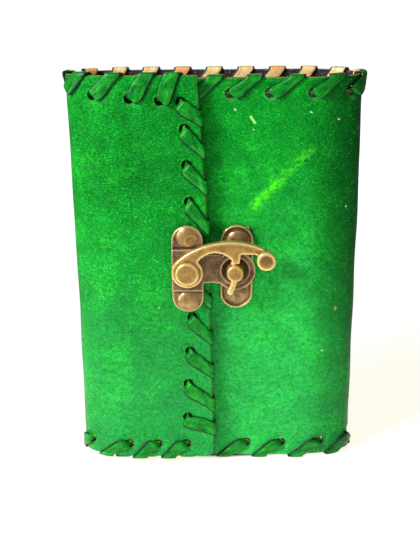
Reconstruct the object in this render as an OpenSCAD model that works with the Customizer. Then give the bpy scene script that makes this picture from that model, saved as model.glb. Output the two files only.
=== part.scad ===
// Hand-laced leather journal, closed and standing on its lower edge.
// One dyed sheet wraps the whole book and ends in a flap over the front.
// A flat lace is whip-stitched round every edge, and a swing clasp holds the flap.
// Millimetres. +X right, +Y towards the back, +Z up, front towards -Y.

/* [Book] */
// Width over the leather
book_w = 88.8; // [78:0.2:110]
// Height of the leather sheet
sheet_h = 125.8; // [110:0.2:160]
// Thickness from the rear face to the front cover face
book_t = 16.8; // [15.6:0.1:22]
// Length over which the fore edge side rounds off
fore_round_l = 18; // [16:0.5:22]
// Tightest radius at the fore edge
fore_tip_r = 7; // [5.5:0.1:8]
// Length over which the spine rounds off
spine_round_l = 18; // [15:0.5:22]
// Tightest radius at the spine
spine_tip_r = 5; // [4.4:0.1:6.5]

/* [Leather sheet] */
// Thickness of the outer leather
leather_t = 1.4; // [1:0.1:2]
// Thickness of the cloth lining
lining_t = 0.36; // [0.2:0.02:0.6]
// Place of the flap corner, from the middle of the book
flap_corner_x = -0.8; // [-4:0.1:4]
// How far the flap edge leans back at its upper end
flap_lean = 4.2; // [0:0.1:6]
// How far the flap sits above the level of the covers
flap_rise = 1.4; // [0.5:0.1:2.5]
// Radius of the flap's lower corner
flap_corner_r = 3; // [1:0.1:4.5]
// How far the front cover stops short of the book's left side
cover_short = 12.4; // [11:0.1:20]

/* [Lace] */
// Thickness of the lace
lace_t = 0.74; // [0.5:0.02:1]
// Width of the lace along the edge it wraps
lace_w = 5; // [3.5:0.1:6]
// Clearance between lace and leather
lace_gap = 0.12; // [0.1:0.01:0.2]
// Radius of the punched holes
punch_r = 1.6; // [1.5:0.05:2]
// Distance of the holes from the top and bottom edges
punch_inset = 4.5; // [4:0.1:6]
// Distance of the holes from the front cover's free edge
fore_inset = 6; // [5:0.1:7]
// Usual distance of the holes from the flap's free edge
flap_inset = 5.5; // [5:0.1:6]
// Usual distance between stitches along the top and bottom edges
stitch = 11; // [10:0.1:12]
// Stitches between the last cover hole and the first flap hole, top edge
rear_stitches_top = 12; // [8:1:14]
// Stitches between the last cover hole and the first flap hole, bottom edge
rear_stitches_bottom = 10; // [8:1:13]
// Stitches on the front cover's free edge
fore_stitches = 10; // [6:1:12]

/* [Pages] */
// Thickness of the page block
pages_t = 10.4; // [8:0.1:10.8]
// Space between the pages and the upper and lower edges of the sheet
pages_margin = 8.8; // [8:0.1:14]
// Fore edge of the pages, from the left side of the leather
pages_short = 11; // [10.7:0.1:18]
// Number of sewn sections in the block
sections = 5; // [3:2:7]
// Length of the cloth strip that holds the pages to the spine
spine_cloth_h = 88; // [60:1:94]
// Thickness of the spine cloth
spine_cloth_t = 0.3; // [0.2:0.02:0.4]
// Number of sewing stations along the spine
sewing_stations = 5; // [3:1:7]
// Thickness of the sewing thread
thread_t = 0.6; // [0.4:0.05:0.8]

/* [Clasp] */
// Place of the arm's pivot, from the middle of the book
pivot_x = -8.5; // [-12:0.1:-6.5]
// Height of the clasp's centre line
clasp_z = 69; // [50:0.2:90]
// Width of the hasp plate
hasp_w = 9.6; // [8.6:0.1:10.4]
// Height of the hasp plate
hasp_h = 28; // [26.5:0.1:32]
// Thickness of the plates
plate_t = 1; // [0.8:0.05:1.1]
// How far the middle of the hasp plate stands proud of its ends
hasp_step = 1.1; // [0.9:0.05:1.4]
// Height of the raised middle
block_h = 13.5; // [12:0.1:15]
// Distance between the two rivets of a plate
hasp_rivets = 21; // [20.8:0.1:22]
// Distance from the pivot to the post
post_reach = 14.6; // [13.6:0.1:16]
// Outer radius of the eye round the post
eye_r = 6.2; // [5.6:0.1:7]
// Radius of the hole in the eye
eye_hole_r = 4.2; // [3.6:0.1:4.8]
// Height of the tongue between hasp plate and eye
tongue_h = 8.4; // [6:0.1:9]
// Distance between the rivets of the catch plate
catch_rivets = 17.2; // [16:0.1:19]
// Radius of the catch plate's round ends
catch_r = 5; // [4.4:0.1:5.6]
// Height of the catch plate's raised border
catch_rim = 0.3; // [0.2:0.05:0.6]
// Width of the catch plate's raised border
catch_border = 0.55; // [0.4:0.05:0.8]

/* [Arm and rivets] */
// Thickness of the swing arm
arm_t = 2.1; // [1.8:0.05:2.4]
// Radius of the arm's round end at the pivot
boss_r = 4.8; // [4.2:0.1:5.4]
// Height of the arm's upper edge above the pivot
arm_top = 9.9; // [9.4:0.1:10.6]
// Radius of the finger knob
knob_r = 2.9; // [2.4:0.1:3.4]
// Length of the finger knob in front of the arm
knob_l = 3.1; // [2.4:0.1:4]
// Radius of the post
post_r = 2.75; // [2.5:0.05:3.1]
// Metal left in front of the post's cross hole
post_cap = 0.75; // [0.5:0.05:1.2]
// Radius of the pivot rivet's shank
shank_r = 1.5; // [1.2:0.05:2]
// Running clearance of the arm on the shank
shank_clear = 0.06; // [0.03:0.01:0.1]
// Radius of the pivot rivet's head
pivot_head_r = 3.6; // [3:0.1:4.2]
// Thickness of the pivot rivet's head
pivot_head_t = 1.3; // [0.9:0.05:1.6]
// Radius of the domed rivet caps
cap_r = 3.35; // [2.8:0.05:3.7]
// Height of the domed rivet caps
cap_h = 1.1; // [0.8:0.05:1.2]
// Radius of the rivet posts
rivet_r = 1; // [0.8:0.05:1.3]
// Radius of the rivets' base discs inside the cover
base_r = 2.6; // [2.2:0.05:3]
// Thickness of the base discs
base_t = 0.6; // [0.4:0.05:0.8]

/* [Clearances] */
// Between the flap and the lace on the front cover under it
layer_play = 0.08; // [0.05:0.01:0.2]
// Between the hasp plate and the flap's lace under it
hasp_play = 0.1; // [0.05:0.01:0.2]
// Between the arm and the plate and rivet head on either side of it
arm_play = 0.15; // [0.08:0.01:0.2]
// Round the rivets in the leather's holes
hole_play = 0.1; // [0.05:0.01:0.2]
// Round the rivets in the plates' holes
plate_play = 0.05; // [0.02:0.01:0.1]
// Between the spine's lining, its cloth, the pages and their thread
spine_play = 0.15; // [0.1:0.01:0.2]
// Round the rod in the post's cross hole
rod_play = 0.2; // [0.1:0.01:0.3]
// Between the arm's tooth and the post
tooth_play = 0.25; // [0.2:0.01:0.4]

/* [Hidden] */
$fn = 96;

DYED = "#1f9a35";
LINING = "#1d1c1f";
PAPER = "#e6dbc0";
CLOTH = "#b9ad94";
THREAD = "#d8cba8";
BRASS = "#8f7136";
BRASS_LIGHT = "#b08f4c";

// Sheet: outer leather, a hair of glue, then the lining
glue = 0.02;
sheet_t = leather_t + glue + lining_t;
lace_ho = lace_gap + lace_t / 2;
lace_stand = lace_gap + lace_t;
// The flap clears the front cover by its own inner lace and the cover's outer lace
layer_gap = 2 * lace_stand + layer_play;
sheet_z = lace_stand;

// Faces across the book, before the whole part is centred on its box
front_y = -book_t / 2;
rear_y = book_t / 2;
flap_y = front_y - sheet_t - layer_gap;
cover_edge_x = -book_w / 2 + cover_short;

// A side of the book in plan is an oval: large arcs ease into one small arc
function oval_big_r(l, half, tip) =
    (pow(l - tip, 2) + half * half - tip * tip) / (2 * (half - tip));
function oval_turn(l, half, tip) = atan((l - tip) / (oval_big_r(l, half, tip) - half));
spine_half = book_t / 2;
fore_half = (rear_y - flap_y) / 2;
spine_big_r = oval_big_r(spine_round_l, spine_half, spine_tip_r);
spine_turn = oval_turn(spine_round_l, spine_half, spine_tip_r);
fore_big_r = oval_big_r(fore_round_l, fore_half, fore_tip_r);
fore_turn = oval_turn(fore_round_l, fore_half, fore_tip_r);
spine_x = book_w / 2 - spine_round_l;
fore_x = -book_w / 2 + fore_round_l;

// The sheet's outer line in plan, from the cover's free edge round to the flap's:
// each entry is a length and the angle it turns through
function arc_len(r, angle) = r * angle * PI / 180;
path = [
    [spine_x - cover_edge_x, 0],
    [arc_len(spine_big_r, spine_turn), spine_turn],
    [arc_len(spine_tip_r, 180 - 2 * spine_turn), 180 - 2 * spine_turn],
    [arc_len(spine_big_r, spine_turn), spine_turn],
    [spine_x - fore_x, 0],
    [arc_len(fore_big_r, fore_turn), fore_turn],
    [arc_len(fore_tip_r, 180 - 2 * fore_turn), 180 - 2 * fore_turn],
    [arc_len(fore_big_r, fore_turn), fore_turn],
    [flap_corner_x - fore_x, 0]
];
wrap_first = 5;
flap_seg = 8;
function radius(k) = path[k][0] / (path[k][1] * PI / 180);
function bend(k) = path[k][1] == 0 ? 0 : 1 / radius(k);
function step_on(pose, k, d) = path[k][1] == 0
    ? [pose[0] + d * cos(pose[2]), pose[1] + d * sin(pose[2]), pose[2]]
    : let (h = pose[2], r = radius(k), g = h + path[k][1] * d / path[k][0])
        [pose[0] + r * (sin(g) - sin(h)), pose[1] - r * (cos(g) - cos(h)), g];
function pose_at(k) = k == 0 ? [cover_edge_x, front_y, 0]
    : step_on(pose_at(k - 1), k - 1, path[k - 1][0]);
function start_of(k) = k == 0 ? 0 : start_of(k - 1) + path[k - 1][0];
poses = [for (k = [0 : len(path)]) pose_at(k)];
starts = [for (k = [0 : len(path)]) start_of(k)];
sheet_l = starts[len(path)];
function seg_of(s, k = 0) = k >= flap_seg || s < starts[k + 1] ? k : seg_of(s, k + 1);

// The wrap and the flap climb a little, so that the flap sits higher than the covers
climb_y = rear_y - sheet_t;
climb = flap_rise / (climb_y - flap_y);
function climb_at(k, y) = k < wrap_first ? 0 : climb * max(0, climb_y - y);

// A point at length s along the sheet, n outside its outer face and z up
function on_sheet(s, n, z) =
    let (k = seg_of(s), p = step_on(poses[k], k, s - starts[k]),
        x = p[0] + n * sin(p[2]), y = p[1] - n * cos(p[2]))
    [x, y, z + climb_at(k, y)];
function bend_at(s) = bend(seg_of(s));
function heading_at(s) = let (k = seg_of(s)) step_on(poses[k], k, s - starts[k])[2];

// The flap's free edge is cut by hand: it leans, more so near the top
flap_z = sheet_z + flap_rise;
flap_edge = [[flap_z, flap_corner_x],
    [flap_z + 0.7 * sheet_h, flap_corner_x - 0.43 * flap_lean],
    [flap_z + sheet_h, flap_corner_x - flap_lean]];
function edge_x(z) = lookup(z, flap_edge);

// Holes along the top and bottom edges: hand-spaced on the front, even round the back.
// Cover holes count from the cover's free edge, flap holes from the flap's lower corner
cover_holes_top = stitch * [0.364, 1.345, 2.327, 3.336, 4.4, 5.564, 6.673];
flap_holes_top = stitch * [3.218, 2.191, 1.382];
cover_holes_bottom = stitch * [0.4, 1.6, 2.691, 3.782, 4.827, 6.027, 7.118];
flap_holes_bottom = stitch * [3.836, 2.573, 1.709, 0.855];
function spaced(a, b, n) = [for (i = [1 : n - 1]) a + (b - a) * i / n];
function last(v) = v[len(v) - 1];
function row(cover, flap, n) = concat(cover,
    spaced(last(cover), sheet_l - flap[0], n), [for (f = flap) sheet_l - f]);
holes_top = row(cover_holes_top, flap_holes_top, rear_stitches_top);
holes_bottom = row(cover_holes_bottom, flap_holes_bottom, rear_stitches_bottom);
// Holes down the flap keep their places beside the clasp's rivets, with none behind the
// upper one, and share out the edge above and below. Down from the top, and in from the edge
clasp_down = flap_z + sheet_h - clasp_z;
above_clasp = clasp_down - hasp_rivets;
below_clasp = clasp_down + 0.795 * hasp_rivets;
function lower(share) = mix(below_clasp, sheet_h, share);
flap_holes = [[0.203 * above_clasp, 0.96], [0.414 * above_clasp, 0.89],
    [0.7 * above_clasp, 0.93], [above_clasp, 0.95],
    [clasp_down + 0.16 * hasp_rivets, 1.04], [below_clasp, 1.02],
    [lower(0.235), 1.22], [lower(0.467), 1.4], [lower(0.711), 1.53]];
fore_holes = [for (i = [0 : fore_stitches - 1])
    [0.1 + 0.77 * i / (fore_stitches - 1), fore_inset]];

// Stitch stations of a run: distance along the edge, and distance of the hole from it.
// The punch wandered in from the edge along the top of the flap
top_wander = [1.27, 1.46, 1.6];
first_wander = len(holes_top) - len(top_wander);
function top_inset(i) = punch_inset * (i < first_wander ? 1 : top_wander[i - first_wander]);
run_top = [for (i = [0 : len(holes_top) - 1]) [holes_top[i], top_inset(i)]];
run_bottom = [for (i = [len(holes_bottom) - 1 : -1 : 0])
    [sheet_l - holes_bottom[i], punch_inset]];
run_flap = [for (h = flap_holes) [h[0], h[1] * flap_inset]];
run_fore = [for (h = fore_holes) [h[0] * sheet_h, h[1]]];

// Where a lace point lies: u along the edge, v in from the edge, n outside the leather
function at_top(u, v, n) = on_sheet(u, n, sheet_z + sheet_h - v);
function at_bottom(u, v, n) = on_sheet(sheet_l - u, n, sheet_z + v);
function at_flap(u, v, n) = let (z = flap_z + sheet_h - u) [edge_x(z) - v, flap_y - n, z];
function at_fore(u, v, n) = [cover_edge_x + v, front_y - n, sheet_z + u];
function at(run, u, v, n) = run == "top" ? at_top(u, v, n)
    : run == "bottom" ? at_bottom(u, v, n)
    : run == "flap" ? at_flap(u, v, n) : at_fore(u, v, n);
function bend_of(run, u) = run == "top" ? bend_at(u)
    : run == "bottom" ? bend_at(sheet_l - u) : 0;

// Cross-sections of one stitch: along, in, out, half width, half thickness, lie.
// The lie turns once round the edge: 0 outside, 90 over the edge, 180 inside, 270 in a hole
lace_half = lace_w / 2;
bunch_w = 1.1;
bunch_t = 0.58;
edge_reach = 8;
edge_share = 0.6;
function mix(a, b, f) = a + (b - a) * f;
function edge_cross(a, b) = a[0] + min(edge_reach, edge_share * (b[0] - a[0]));
function lace_out(a, ue) = [
    [a[0], a[1], -sheet_t / 2, bunch_w, bunch_t, 270],
    [mix(a[0], ue, 0.05), a[1] - 0.15, 0.6, bunch_w + 0.1, 0.5, 315],
    [mix(a[0], ue, 0.25), a[1] - 1.1, lace_ho, 0.75 * lace_half, lace_t / 2, 0],
    [mix(a[0], ue, 0.62), 0.42 * a[1], lace_ho, 0.94 * lace_half, lace_t / 2, 0],
    [ue, 0, lace_ho, lace_half, lace_t / 2, 0],
    [ue + 0.15, -lace_ho, 0, lace_half, lace_t / 2, 90]
];
function lace_in(b, ue) = [
    [ue + 0.5, -lace_ho, -sheet_t, lace_half, lace_t / 2, 90],
    [ue + 0.65, 0, -sheet_t - lace_ho, lace_half, lace_t / 2, 180],
    [mix(ue, b[0], 0.5), 0.5 * b[1], -sheet_t - lace_ho, 0.84 * lace_half, lace_t / 2, 180],
    [mix(ue, b[0], 0.82), b[1] - 1.3, -sheet_t - lace_ho, 0.68 * lace_half, lace_t / 2, 180],
    [b[0], b[1] - 0.15, -sheet_t - 0.5, bunch_w + 0.1, 0.5, 225]
];
// Both ends of a lace are tucked flat against the inside
function tail_start(a) = [
    [a[0] - 3.2, a[1] - 2.6, -sheet_t - lace_ho, 0.6 * lace_half, lace_t / 2, 180],
    [a[0] - 0.9, a[1] - 1.3, -sheet_t - lace_ho, 0.6 * lace_half, lace_t / 2, 180],
    [a[0], a[1] - 0.15, -sheet_t - 0.5, bunch_w + 0.1, 0.5, 225]
];
last_reach = 3.8;
function tail_end(ue, v) = [
    [ue + 0.5, -lace_ho, -sheet_t, lace_half, lace_t / 2, 90],
    [ue + 0.65, 0, -sheet_t - lace_ho, lace_half, lace_t / 2, 180],
    [ue + 0.4, v, -sheet_t - lace_ho, 0.8 * lace_half, lace_t / 2, 180]
];
tail_l = 4;
function run_rings(st) =
    let (n = len(st))
    concat(tail_start(st[0]),
        [for (i = [0 : n - 2]) let (ue = edge_cross(st[i], st[i + 1]))
            each concat(lace_out(st[i], ue), lace_in(st[i + 1], ue))],
        let (ue = last(st)[0] + last_reach)
        concat(lace_out(last(st), ue), tail_end(ue, tail_l)));

// On the tightest bends a flat-sided lace has to stand off a little more
bend_lift = 1.4;
function ring_points(run, r, cols) =
    let (off = r[5] < 90 || r[5] > 300 ? bend_lift * bend_of(run, r[0]) : 0)
    [for (row = [-1, 1]) for (i = [0 : cols - 1])
        let (c = row * (2 * i / (cols - 1) - 1))
        at(run, r[0] + c * r[3], r[1] - row * r[4] * sin(r[5]), r[2] + off
            + row * r[4] * cos(r[5]))];
module lace(run, stations, cols) {
    rings = run_rings(stations);
    m = 2 * cols;
    count = len(rings);
    points = [for (r = rings) each ring_points(run, r, cols)];
    sides = [for (k = [0 : count - 2]) for (j = [0 : m - 1])
        let (a = k * m + j, b = k * m + (j + 1) % m)
        each [[a, b + m, b], [a, a + m, b + m]]];
    function cap(o) = [for (i = [0 : cols - 2])
        each [[o + i, o + m - 1 - i, o + m - 2 - i], [o + i, o + m - 2 - i, o + i + 1]]];
    function flip(faces) = [for (f = faces) [f[2], f[1], f[0]]];
    color(DYED) polyhedron(points, concat(sides, flip(cap(0)), cap((count - 1) * m)), 12);
}

// A wall that follows the sheet's line from segment a to b, between n0 and n1 outside it
arc_step = 3;
function along(a, b, n) = [for (k = [a : b])
    let (m = max(1, ceil(path[k][1] / arc_step)))
    for (j = [0 : k == b ? m : m - 1])
        let (p = step_on(poses[k], k, path[k][0] * j / m))
        [p[0] + n * sin(p[2]), p[1] - n * cos(p[2])]];
function backwards(v) = [for (i = [len(v) - 1 : -1 : 0]) v[i]];
module strip(a, b, n0, n1, z0, z1) {
    translate([0, 0, z0]) linear_extrude(z1 - z0)
        polygon(concat(along(a, b, n0), backwards(along(a, b, n1))));
}

// What is cut from the wrap and the flap above and below their climbing edges.
// The front cover, which keeps its level edge, lies between the two in the same space
module climb_trim() {
    far = flap_y - 10;
    near = rear_y + 5;
    up = climb * (climb_y - far);
    top = sheet_z + sheet_h;
    margin = 10;
    translate([-book_w, 0, 0]) rotate([90, 0, 90]) linear_extrude(book_w + flap_corner_x + 1)
        polygon([[near, top], [climb_y, top], [far, top + up], [far, top + up + margin],
            [near, top + up + margin]]);
    difference() {
        translate([-book_w, 0, 0]) rotate([90, 0, 90]) linear_extrude(book_w + flap_corner_x + 1)
            polygon([[climb_y, sheet_z], [far, sheet_z + up], [far, -margin],
                [climb_y, -margin]]);
        translate([cover_edge_x - 0.5, front_y - 0.4, -2 * margin])
            cube([book_w, sheet_t + 0.8, 4 * margin]);
    }
}

// What is trimmed off the flap: everything past its free edge, and the lower corner
module flap_trim() {
    r = flap_corner_r;
    lean = atan((flap_edge[0][1] - flap_edge[1][1]) / (flap_edge[1][0] - flap_edge[0][0]));
    cz = flap_z + r;
    cx = edge_x(cz) - r / cos(lean);
    translate([0, flap_y + 2 * sheet_t, 0]) rotate([90, 0, 0]) linear_extrude(4 * sheet_t) {
        polygon([flap_edge[0] - [10, 0], flap_edge[0], flap_edge[1], flap_edge[2],
            flap_edge[2] + [10, 0], flap_edge[2] + [10, 20], flap_edge[0] - [10, -20]]
            * [[0, 1], [1, 0]]);
        difference() {
            polygon([[cx, cz], [cx, cz - 2 * r], [cx + 3 * r, cz - 2 * r],
                [cx + 3 * r, cz + 3 * r * sin(lean)], [cx + r * cos(lean), cz + r * sin(lean)]]);
            translate([cx, cz]) circle(r);
        }
    }
}

module punches() {
    for (h = run_top) punch(on_sheet(h[0], 0, sheet_z + sheet_h - h[1]), heading_at(h[0]));
    for (s = holes_bottom) punch(on_sheet(s, 0, sheet_z + punch_inset), heading_at(s));
    for (h = run_flap) punch(at_flap(h[0], h[1], 0), 0);
    for (h = run_fore) punch(at_fore(h[0], h[1], 0), 0);
}
module punch(p, heading) {
    translate(p) rotate([0, 0, heading]) translate([0, sheet_t + 0.5, 0]) rotate([90, 0, 0])
        cylinder(h = sheet_t + 1, r = punch_r, $fn = 24);
}

module sheet_layer(n0, n1) {
    top = sheet_z + sheet_h;
    difference() {
        union() {
            strip(0, wrap_first - 1, n0, n1, sheet_z, top);
            strip(wrap_first, flap_seg, n0, n1, sheet_z, top + 2 * flap_rise);
        }
        climb_trim();
        flap_trim();
        punches();
        clasp_holes();
    }
}
module leather_cover() { color(DYED) sheet_layer(-leather_t, 0); }
module cover_lining() { color(LINING) sheet_layer(-sheet_t, -leather_t - glue); }

module lace_top() { lace("top", run_top, 3); }
module lace_bottom() { lace("bottom", run_bottom, 3); }
module lace_flap() { lace("flap", run_flap, 2); }
module lace_fore_edge() { lace("fore", run_fore, 2); }

// Pages: folded sections side by side, their folds fanned out to fill the round spine
mid_y = (front_y + rear_y) / 2;
section_t = pages_t / sections;
pages_z = sheet_z + pages_margin;
pages_h = sheet_h - 2 * pages_margin;
pages_x = -book_w / 2 + pages_short;
spine_inset = sheet_t + spine_play + spine_cloth_t + spine_play;
tip_x = book_w / 2 - spine_tip_r;
function spine_inside(y) =
    let (d = abs(y), r = spine_tip_r - spine_inset, big = spine_big_r - spine_inset)
    d < r * cos(spine_turn) ? tip_x + sqrt(r * r - d * d)
        : spine_x + sqrt(big * big - pow(d + spine_big_r - spine_half, 2));
module page_block() {
    kerf_t = thread_t + 2 * spine_play;
    color(PAPER) difference() {
        for (i = [0 : sections - 1]) {
            y = (i - (sections - 1) / 2) * section_t;
            r = section_t / 2;
            x = min(spine_inside(abs(y) + r), spine_inside(y) - r);
            translate([pages_x, mid_y + y - r, pages_z]) cube([x - pages_x, section_t, pages_h]);
            translate([x, mid_y + y, pages_z]) cylinder(h = pages_h, r = r, $fn = 32);
        }
        for (z = sewing_z)
            strip(1, 3, -spine_inset - thread_depth - kerf_t, 0, z - kerf_t / 2, z + kerf_t / 2);
    }
}
sewing_z = [for (i = [0 : sewing_stations - 1])
    pages_z + pages_h * (0.12 + 0.76 * i / (sewing_stations - 1))];

// How far the threads lie below the tops of the folds
thread_depth = 0.2;

module spine_cloth() {
    z0 = sheet_z + (sheet_h - spine_cloth_h) / 2;
    outer = -sheet_t - spine_play;
    color(CLOTH) intersection() {
        strip(1, 3, outer - spine_cloth_t, outer, z0, z0 + spine_cloth_h);
        translate([spine_x + 0.4 * spine_round_l, -book_t, 0])
            cube([book_w, 2 * book_t, sheet_h + 10]);
    }
}

// One thread at each station, laid in a sawn groove across the folds
module binding_thread() {
    n1 = -spine_inset - thread_depth;
    color(THREAD) intersection() {
        for (z = sewing_z) strip(1, 3, n1 - thread_t, n1, z - thread_t / 2, z + thread_t / 2);
        translate([spine_x, mid_y - pages_t / 2 + 0.9, 0])
            cube([book_w, pages_t - 1.8, sheet_h + 10]);
    }
}

// Clasp levels, from the leather outwards
hasp_back = flap_y - lace_stand - hasp_play;
lobe_face = hasp_back - plate_t;
block_back = hasp_back - hasp_step;
block_face = block_back - plate_t;
arm_back = block_face - arm_play;
arm_face = arm_back - arm_t;
head_back = arm_face - arm_play;
head_face = head_back - pivot_head_t;
knob_face = arm_face - knob_l;
rod_r = arm_t / 2 - 0.08;
rod_y = (arm_back + arm_face) / 2;
post_x = pivot_x + post_reach;
// The rod is an arc about the pivot, so its straight hole needs room for the curve
rod_sag = post_r * post_r / (2 * post_reach);
cross_r = rod_r + rod_sag / 2 + rod_play;
post_face = rod_y - cross_r - post_cap;
catch_face = front_y - plate_t;
rivets_hasp = [for (k = [-1, 1]) [pivot_x, clasp_z + k * hasp_rivets / 2]];
// The catch plate was nailed on a little off the post's line
catch_off = [0.5, -0.8];
rivets_catch = [for (k = [-1, 1])
    [post_x, clasp_z] + catch_off + [0.15 * k, k * catch_rivets / 2]];

// A cylinder along Y between two faces, and a turned shape with its axis along Y
module barrel(x, z, r, y0, y1, faces = 64) {
    translate([x, max(y0, y1), z]) rotate([90, 0, 0])
        cylinder(h = abs(y1 - y0), r = r, $fn = faces);
}
module turned(x, z, y) {
    translate([x, y, z]) rotate([90, 0, 0]) rotate_extrude($fn = 64) children();
}
module plate_shape(y0, y1) {
    translate([0, max(y0, y1), 0]) rotate([90, 0, 0]) linear_extrude(abs(y1 - y0)) children();
}

// Holes that the clasp's rivets and post need through the sheet
module clasp_holes() {
    for (p = rivets_hasp) barrel(p[0], p[1], rivet_r + hole_play, flap_y - 1, flap_y + sheet_t + 0.5, 32);
    for (p = rivets_catch)
        barrel(p[0], p[1], rivet_r + hole_play, front_y - 1, front_y + sheet_t + 0.5, 32);
    barrel(post_x, clasp_z, tenon_r + hole_play, front_y - 1, front_y + sheet_t + 0.5, 32);
}
tenon_r = 1.5;
// How far a shank runs into its own head
root = 0.3;

module hasp_outline() {
    r = hasp_w / 2;
    for (k = [-1, 1]) translate([pivot_x, clasp_z + k * (hasp_h / 2 - r)]) circle(r);
    translate([pivot_x - r, clasp_z - hasp_h / 2 + r]) square([hasp_w, hasp_h - 2 * r]);
}
// The plate is one bent sheet: its ends lie back, its middle and tongue stand forward
module hasp_plate() {
    slope = 0.35;
    half = block_h / 2;
    end = hasp_h;
    // The tongue is slightly waisted between the plate and the eye
    notch_r = 1.2 * tongue_h;
    notch_x = (pivot_x + hasp_w / 2 + post_x - eye_r * cos(asin(tongue_h / 2 / eye_r))) / 2;
    notch_z = 0.46 * tongue_h + notch_r;
    function profile(y, h) = [[y, end], [y, h + slope], [y - hasp_step, h],
        [y - hasp_step, -h], [y, -h - slope], [y, -end]];
    back = profile(hasp_back, half - 0.6);
    face = profile(lobe_face, half);
    color(BRASS) difference() {
        union() {
            intersection() {
                plate_shape(hasp_back, block_face) hasp_outline();
                translate([pivot_x - hasp_w, 0, clasp_z]) rotate([90, 0, 90])
                    linear_extrude(2 * hasp_w)
                        polygon(concat(back, [for (i = [5 : -1 : 0]) face[i]]));
            }
            plate_shape(block_back, block_face) {
                difference() {
                    translate([pivot_x, clasp_z - tongue_h / 2]) square([post_reach, tongue_h]);
                    for (k = [-1, 1]) translate([notch_x, clasp_z + k * notch_z]) circle(notch_r);
                }
                translate([post_x, clasp_z]) circle(eye_r);
            }
        }
        barrel(post_x, clasp_z, eye_hole_r, hasp_back, block_face - 1);
        barrel(pivot_x, clasp_z, shank_r, hasp_back, block_face - 1);
        for (p = rivets_hasp) barrel(p[0], p[1], rivet_r + plate_play, hasp_back + 1, lobe_face - 1, 32);
    }
}

// A strap with round ends and a thin raised border, which carries the post
module catch_outline(r) {
    for (p = rivets_catch) translate(p) circle(r);
    polygon([for (k = [0, 1]) for (side = [1, -1])
        rivets_catch[k] + [(k == 0 ? side : -side) * r, 0]]);
}
module catch_plate() {
    nub = [1.3, 1.1];
    color(BRASS) difference() {
        union() {
            plate_shape(front_y, catch_face) catch_outline(catch_r);
            plate_shape(catch_face, catch_face - catch_rim) difference() {
                catch_outline(catch_r);
                catch_outline(catch_r - catch_border);
            }
            plate_shape(front_y, catch_face)
                translate(rivets_catch[1] + catch_r * [0.48, 0.68]) square(nub);
        }
        for (p = rivets_catch)
            barrel(p[0], p[1], rivet_r + plate_play, front_y + 1, catch_face - 1, 32);
        barrel(post_x, clasp_z, tenon_r, front_y + 1, catch_face - 1, 48);
    }
}

// The post: a tenon through plate and cover, a tail inside, a cross hole for the rod
module catch_post() {
    inside = front_y + sheet_t;
    l = catch_face - post_face;
    edge = 0.45;
    taper = 0.2;
    color(BRASS_LIGHT) difference() {
        union() {
            turned(post_x, clasp_z, catch_face) polygon([[0, 0], [post_r, 0],
                [post_r - taper, l - edge], [post_r - taper - 0.3 * edge, l - 0.3 * edge],
                [post_r - taper - edge, l], [0, l]]);
            barrel(post_x, clasp_z, tenon_r, catch_face - root, inside + root, 48);
            barrel(post_x, clasp_z, base_r, inside, inside + base_t, 48);
        }
        translate([post_x - rod_sag / 2, rod_y, clasp_z - 2 * post_r])
            cylinder(h = 4 * post_r, r = cross_r, $fn = 48);
    }
}

// Arm outline about the pivot: a crescent, a tooth above the post and a tip for the knob.
// It keeps its form when the post is set nearer or farther
knob_x = 1.644 * post_reach;
knob_z = 0.322 * post_reach;
tooth_z = post_r + tooth_play;
module arm_outline() {
    // The upper edge is an arc that runs into the round end without a corner
    top_x = 0.897 * post_reach;
    arm_back_r = (top_x * top_x + arm_top * arm_top - boss_r * boss_r) / (2 * (arm_top - boss_r));
    back = [top_x, arm_top - arm_back_r];
    window = [0.589 * post_reach, 0.0137 * post_reach];
    window_r = 0.4315 * post_reach;
    under = 0.411 * post_reach;
    stem_r = 0.79 * knob_r;
    circle(boss_r);
    intersection() {
        translate(back) circle(arm_back_r, $fn = 200);
        difference() {
            polygon([[0, 0], boss_r * back / norm(back) * -1, [0, arm_top], [knob_x - 0.2 * stem_r, arm_top],
                [knob_x - 0.2 * stem_r, knob_z],
                [knob_x - 0.87 * stem_r, knob_z], [knob_x - 1.4 * stem_r, under],
                [post_reach + 0.65 * post_r, under], [post_reach + 0.47 * post_r, tooth_z],
                [post_reach - 0.36 * post_r, tooth_z], [boss_r, 0]]);
            translate(window) circle(window_r);
        }
    }
    translate([knob_x, knob_z]) circle(stem_r);
}
// The finger knob in section: a waisted stem, then a head with a dished face
module knob_section() {
    neck = 0.72 * knob_r;
    end = knob_l + root;
    round = 0.17 * knob_r;
    dish = 0.1 * knob_l;
    polygon([[0, 0], [neck, 0], [neck, 0.16 * knob_l], [0.9 * neck, 0.24 * knob_l],
        [neck, 0.32 * knob_l], [knob_r - 0.4 * round, 0.38 * knob_l], [knob_r, 0.46 * knob_l],
        [knob_r, end - round], [knob_r - 0.3 * round, end - 0.3 * round], [knob_r - round, end],
        [knob_r - 2 * round, end], [knob_r - 2.6 * round, end - dish], [0, end - dish]]);
}
module swing_arm() {
    rod_up = atan(tooth_z / post_reach) + 3;
    rod_down = 28;
    tip_l = 0.5;
    color(BRASS_LIGHT) difference() {
        union() {
            plate_shape(arm_back, arm_face) translate([pivot_x, clasp_z]) arm_outline();
            translate([pivot_x, rod_y, clasp_z]) rotate([90, 0, 0]) {
                rotate([0, 0, -rod_down]) rotate_extrude(angle = rod_down + rod_up, $fn = 180)
                    translate([post_reach, 0]) circle(rod_r, $fn = 32);
                rotate([0, 0, -rod_down]) translate([post_reach, 0, 0]) rotate([90, 0, 0])
                    cylinder(h = tip_l, r1 = rod_r, r2 = rod_r - 0.8 * tip_l, $fn = 32);
            }
            turned(pivot_x + knob_x, clasp_z + knob_z, arm_face + root) knob_section();
        }
        barrel(pivot_x, clasp_z, shank_r + shank_clear, arm_back + 1, arm_face - 1);
    }
}

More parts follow.
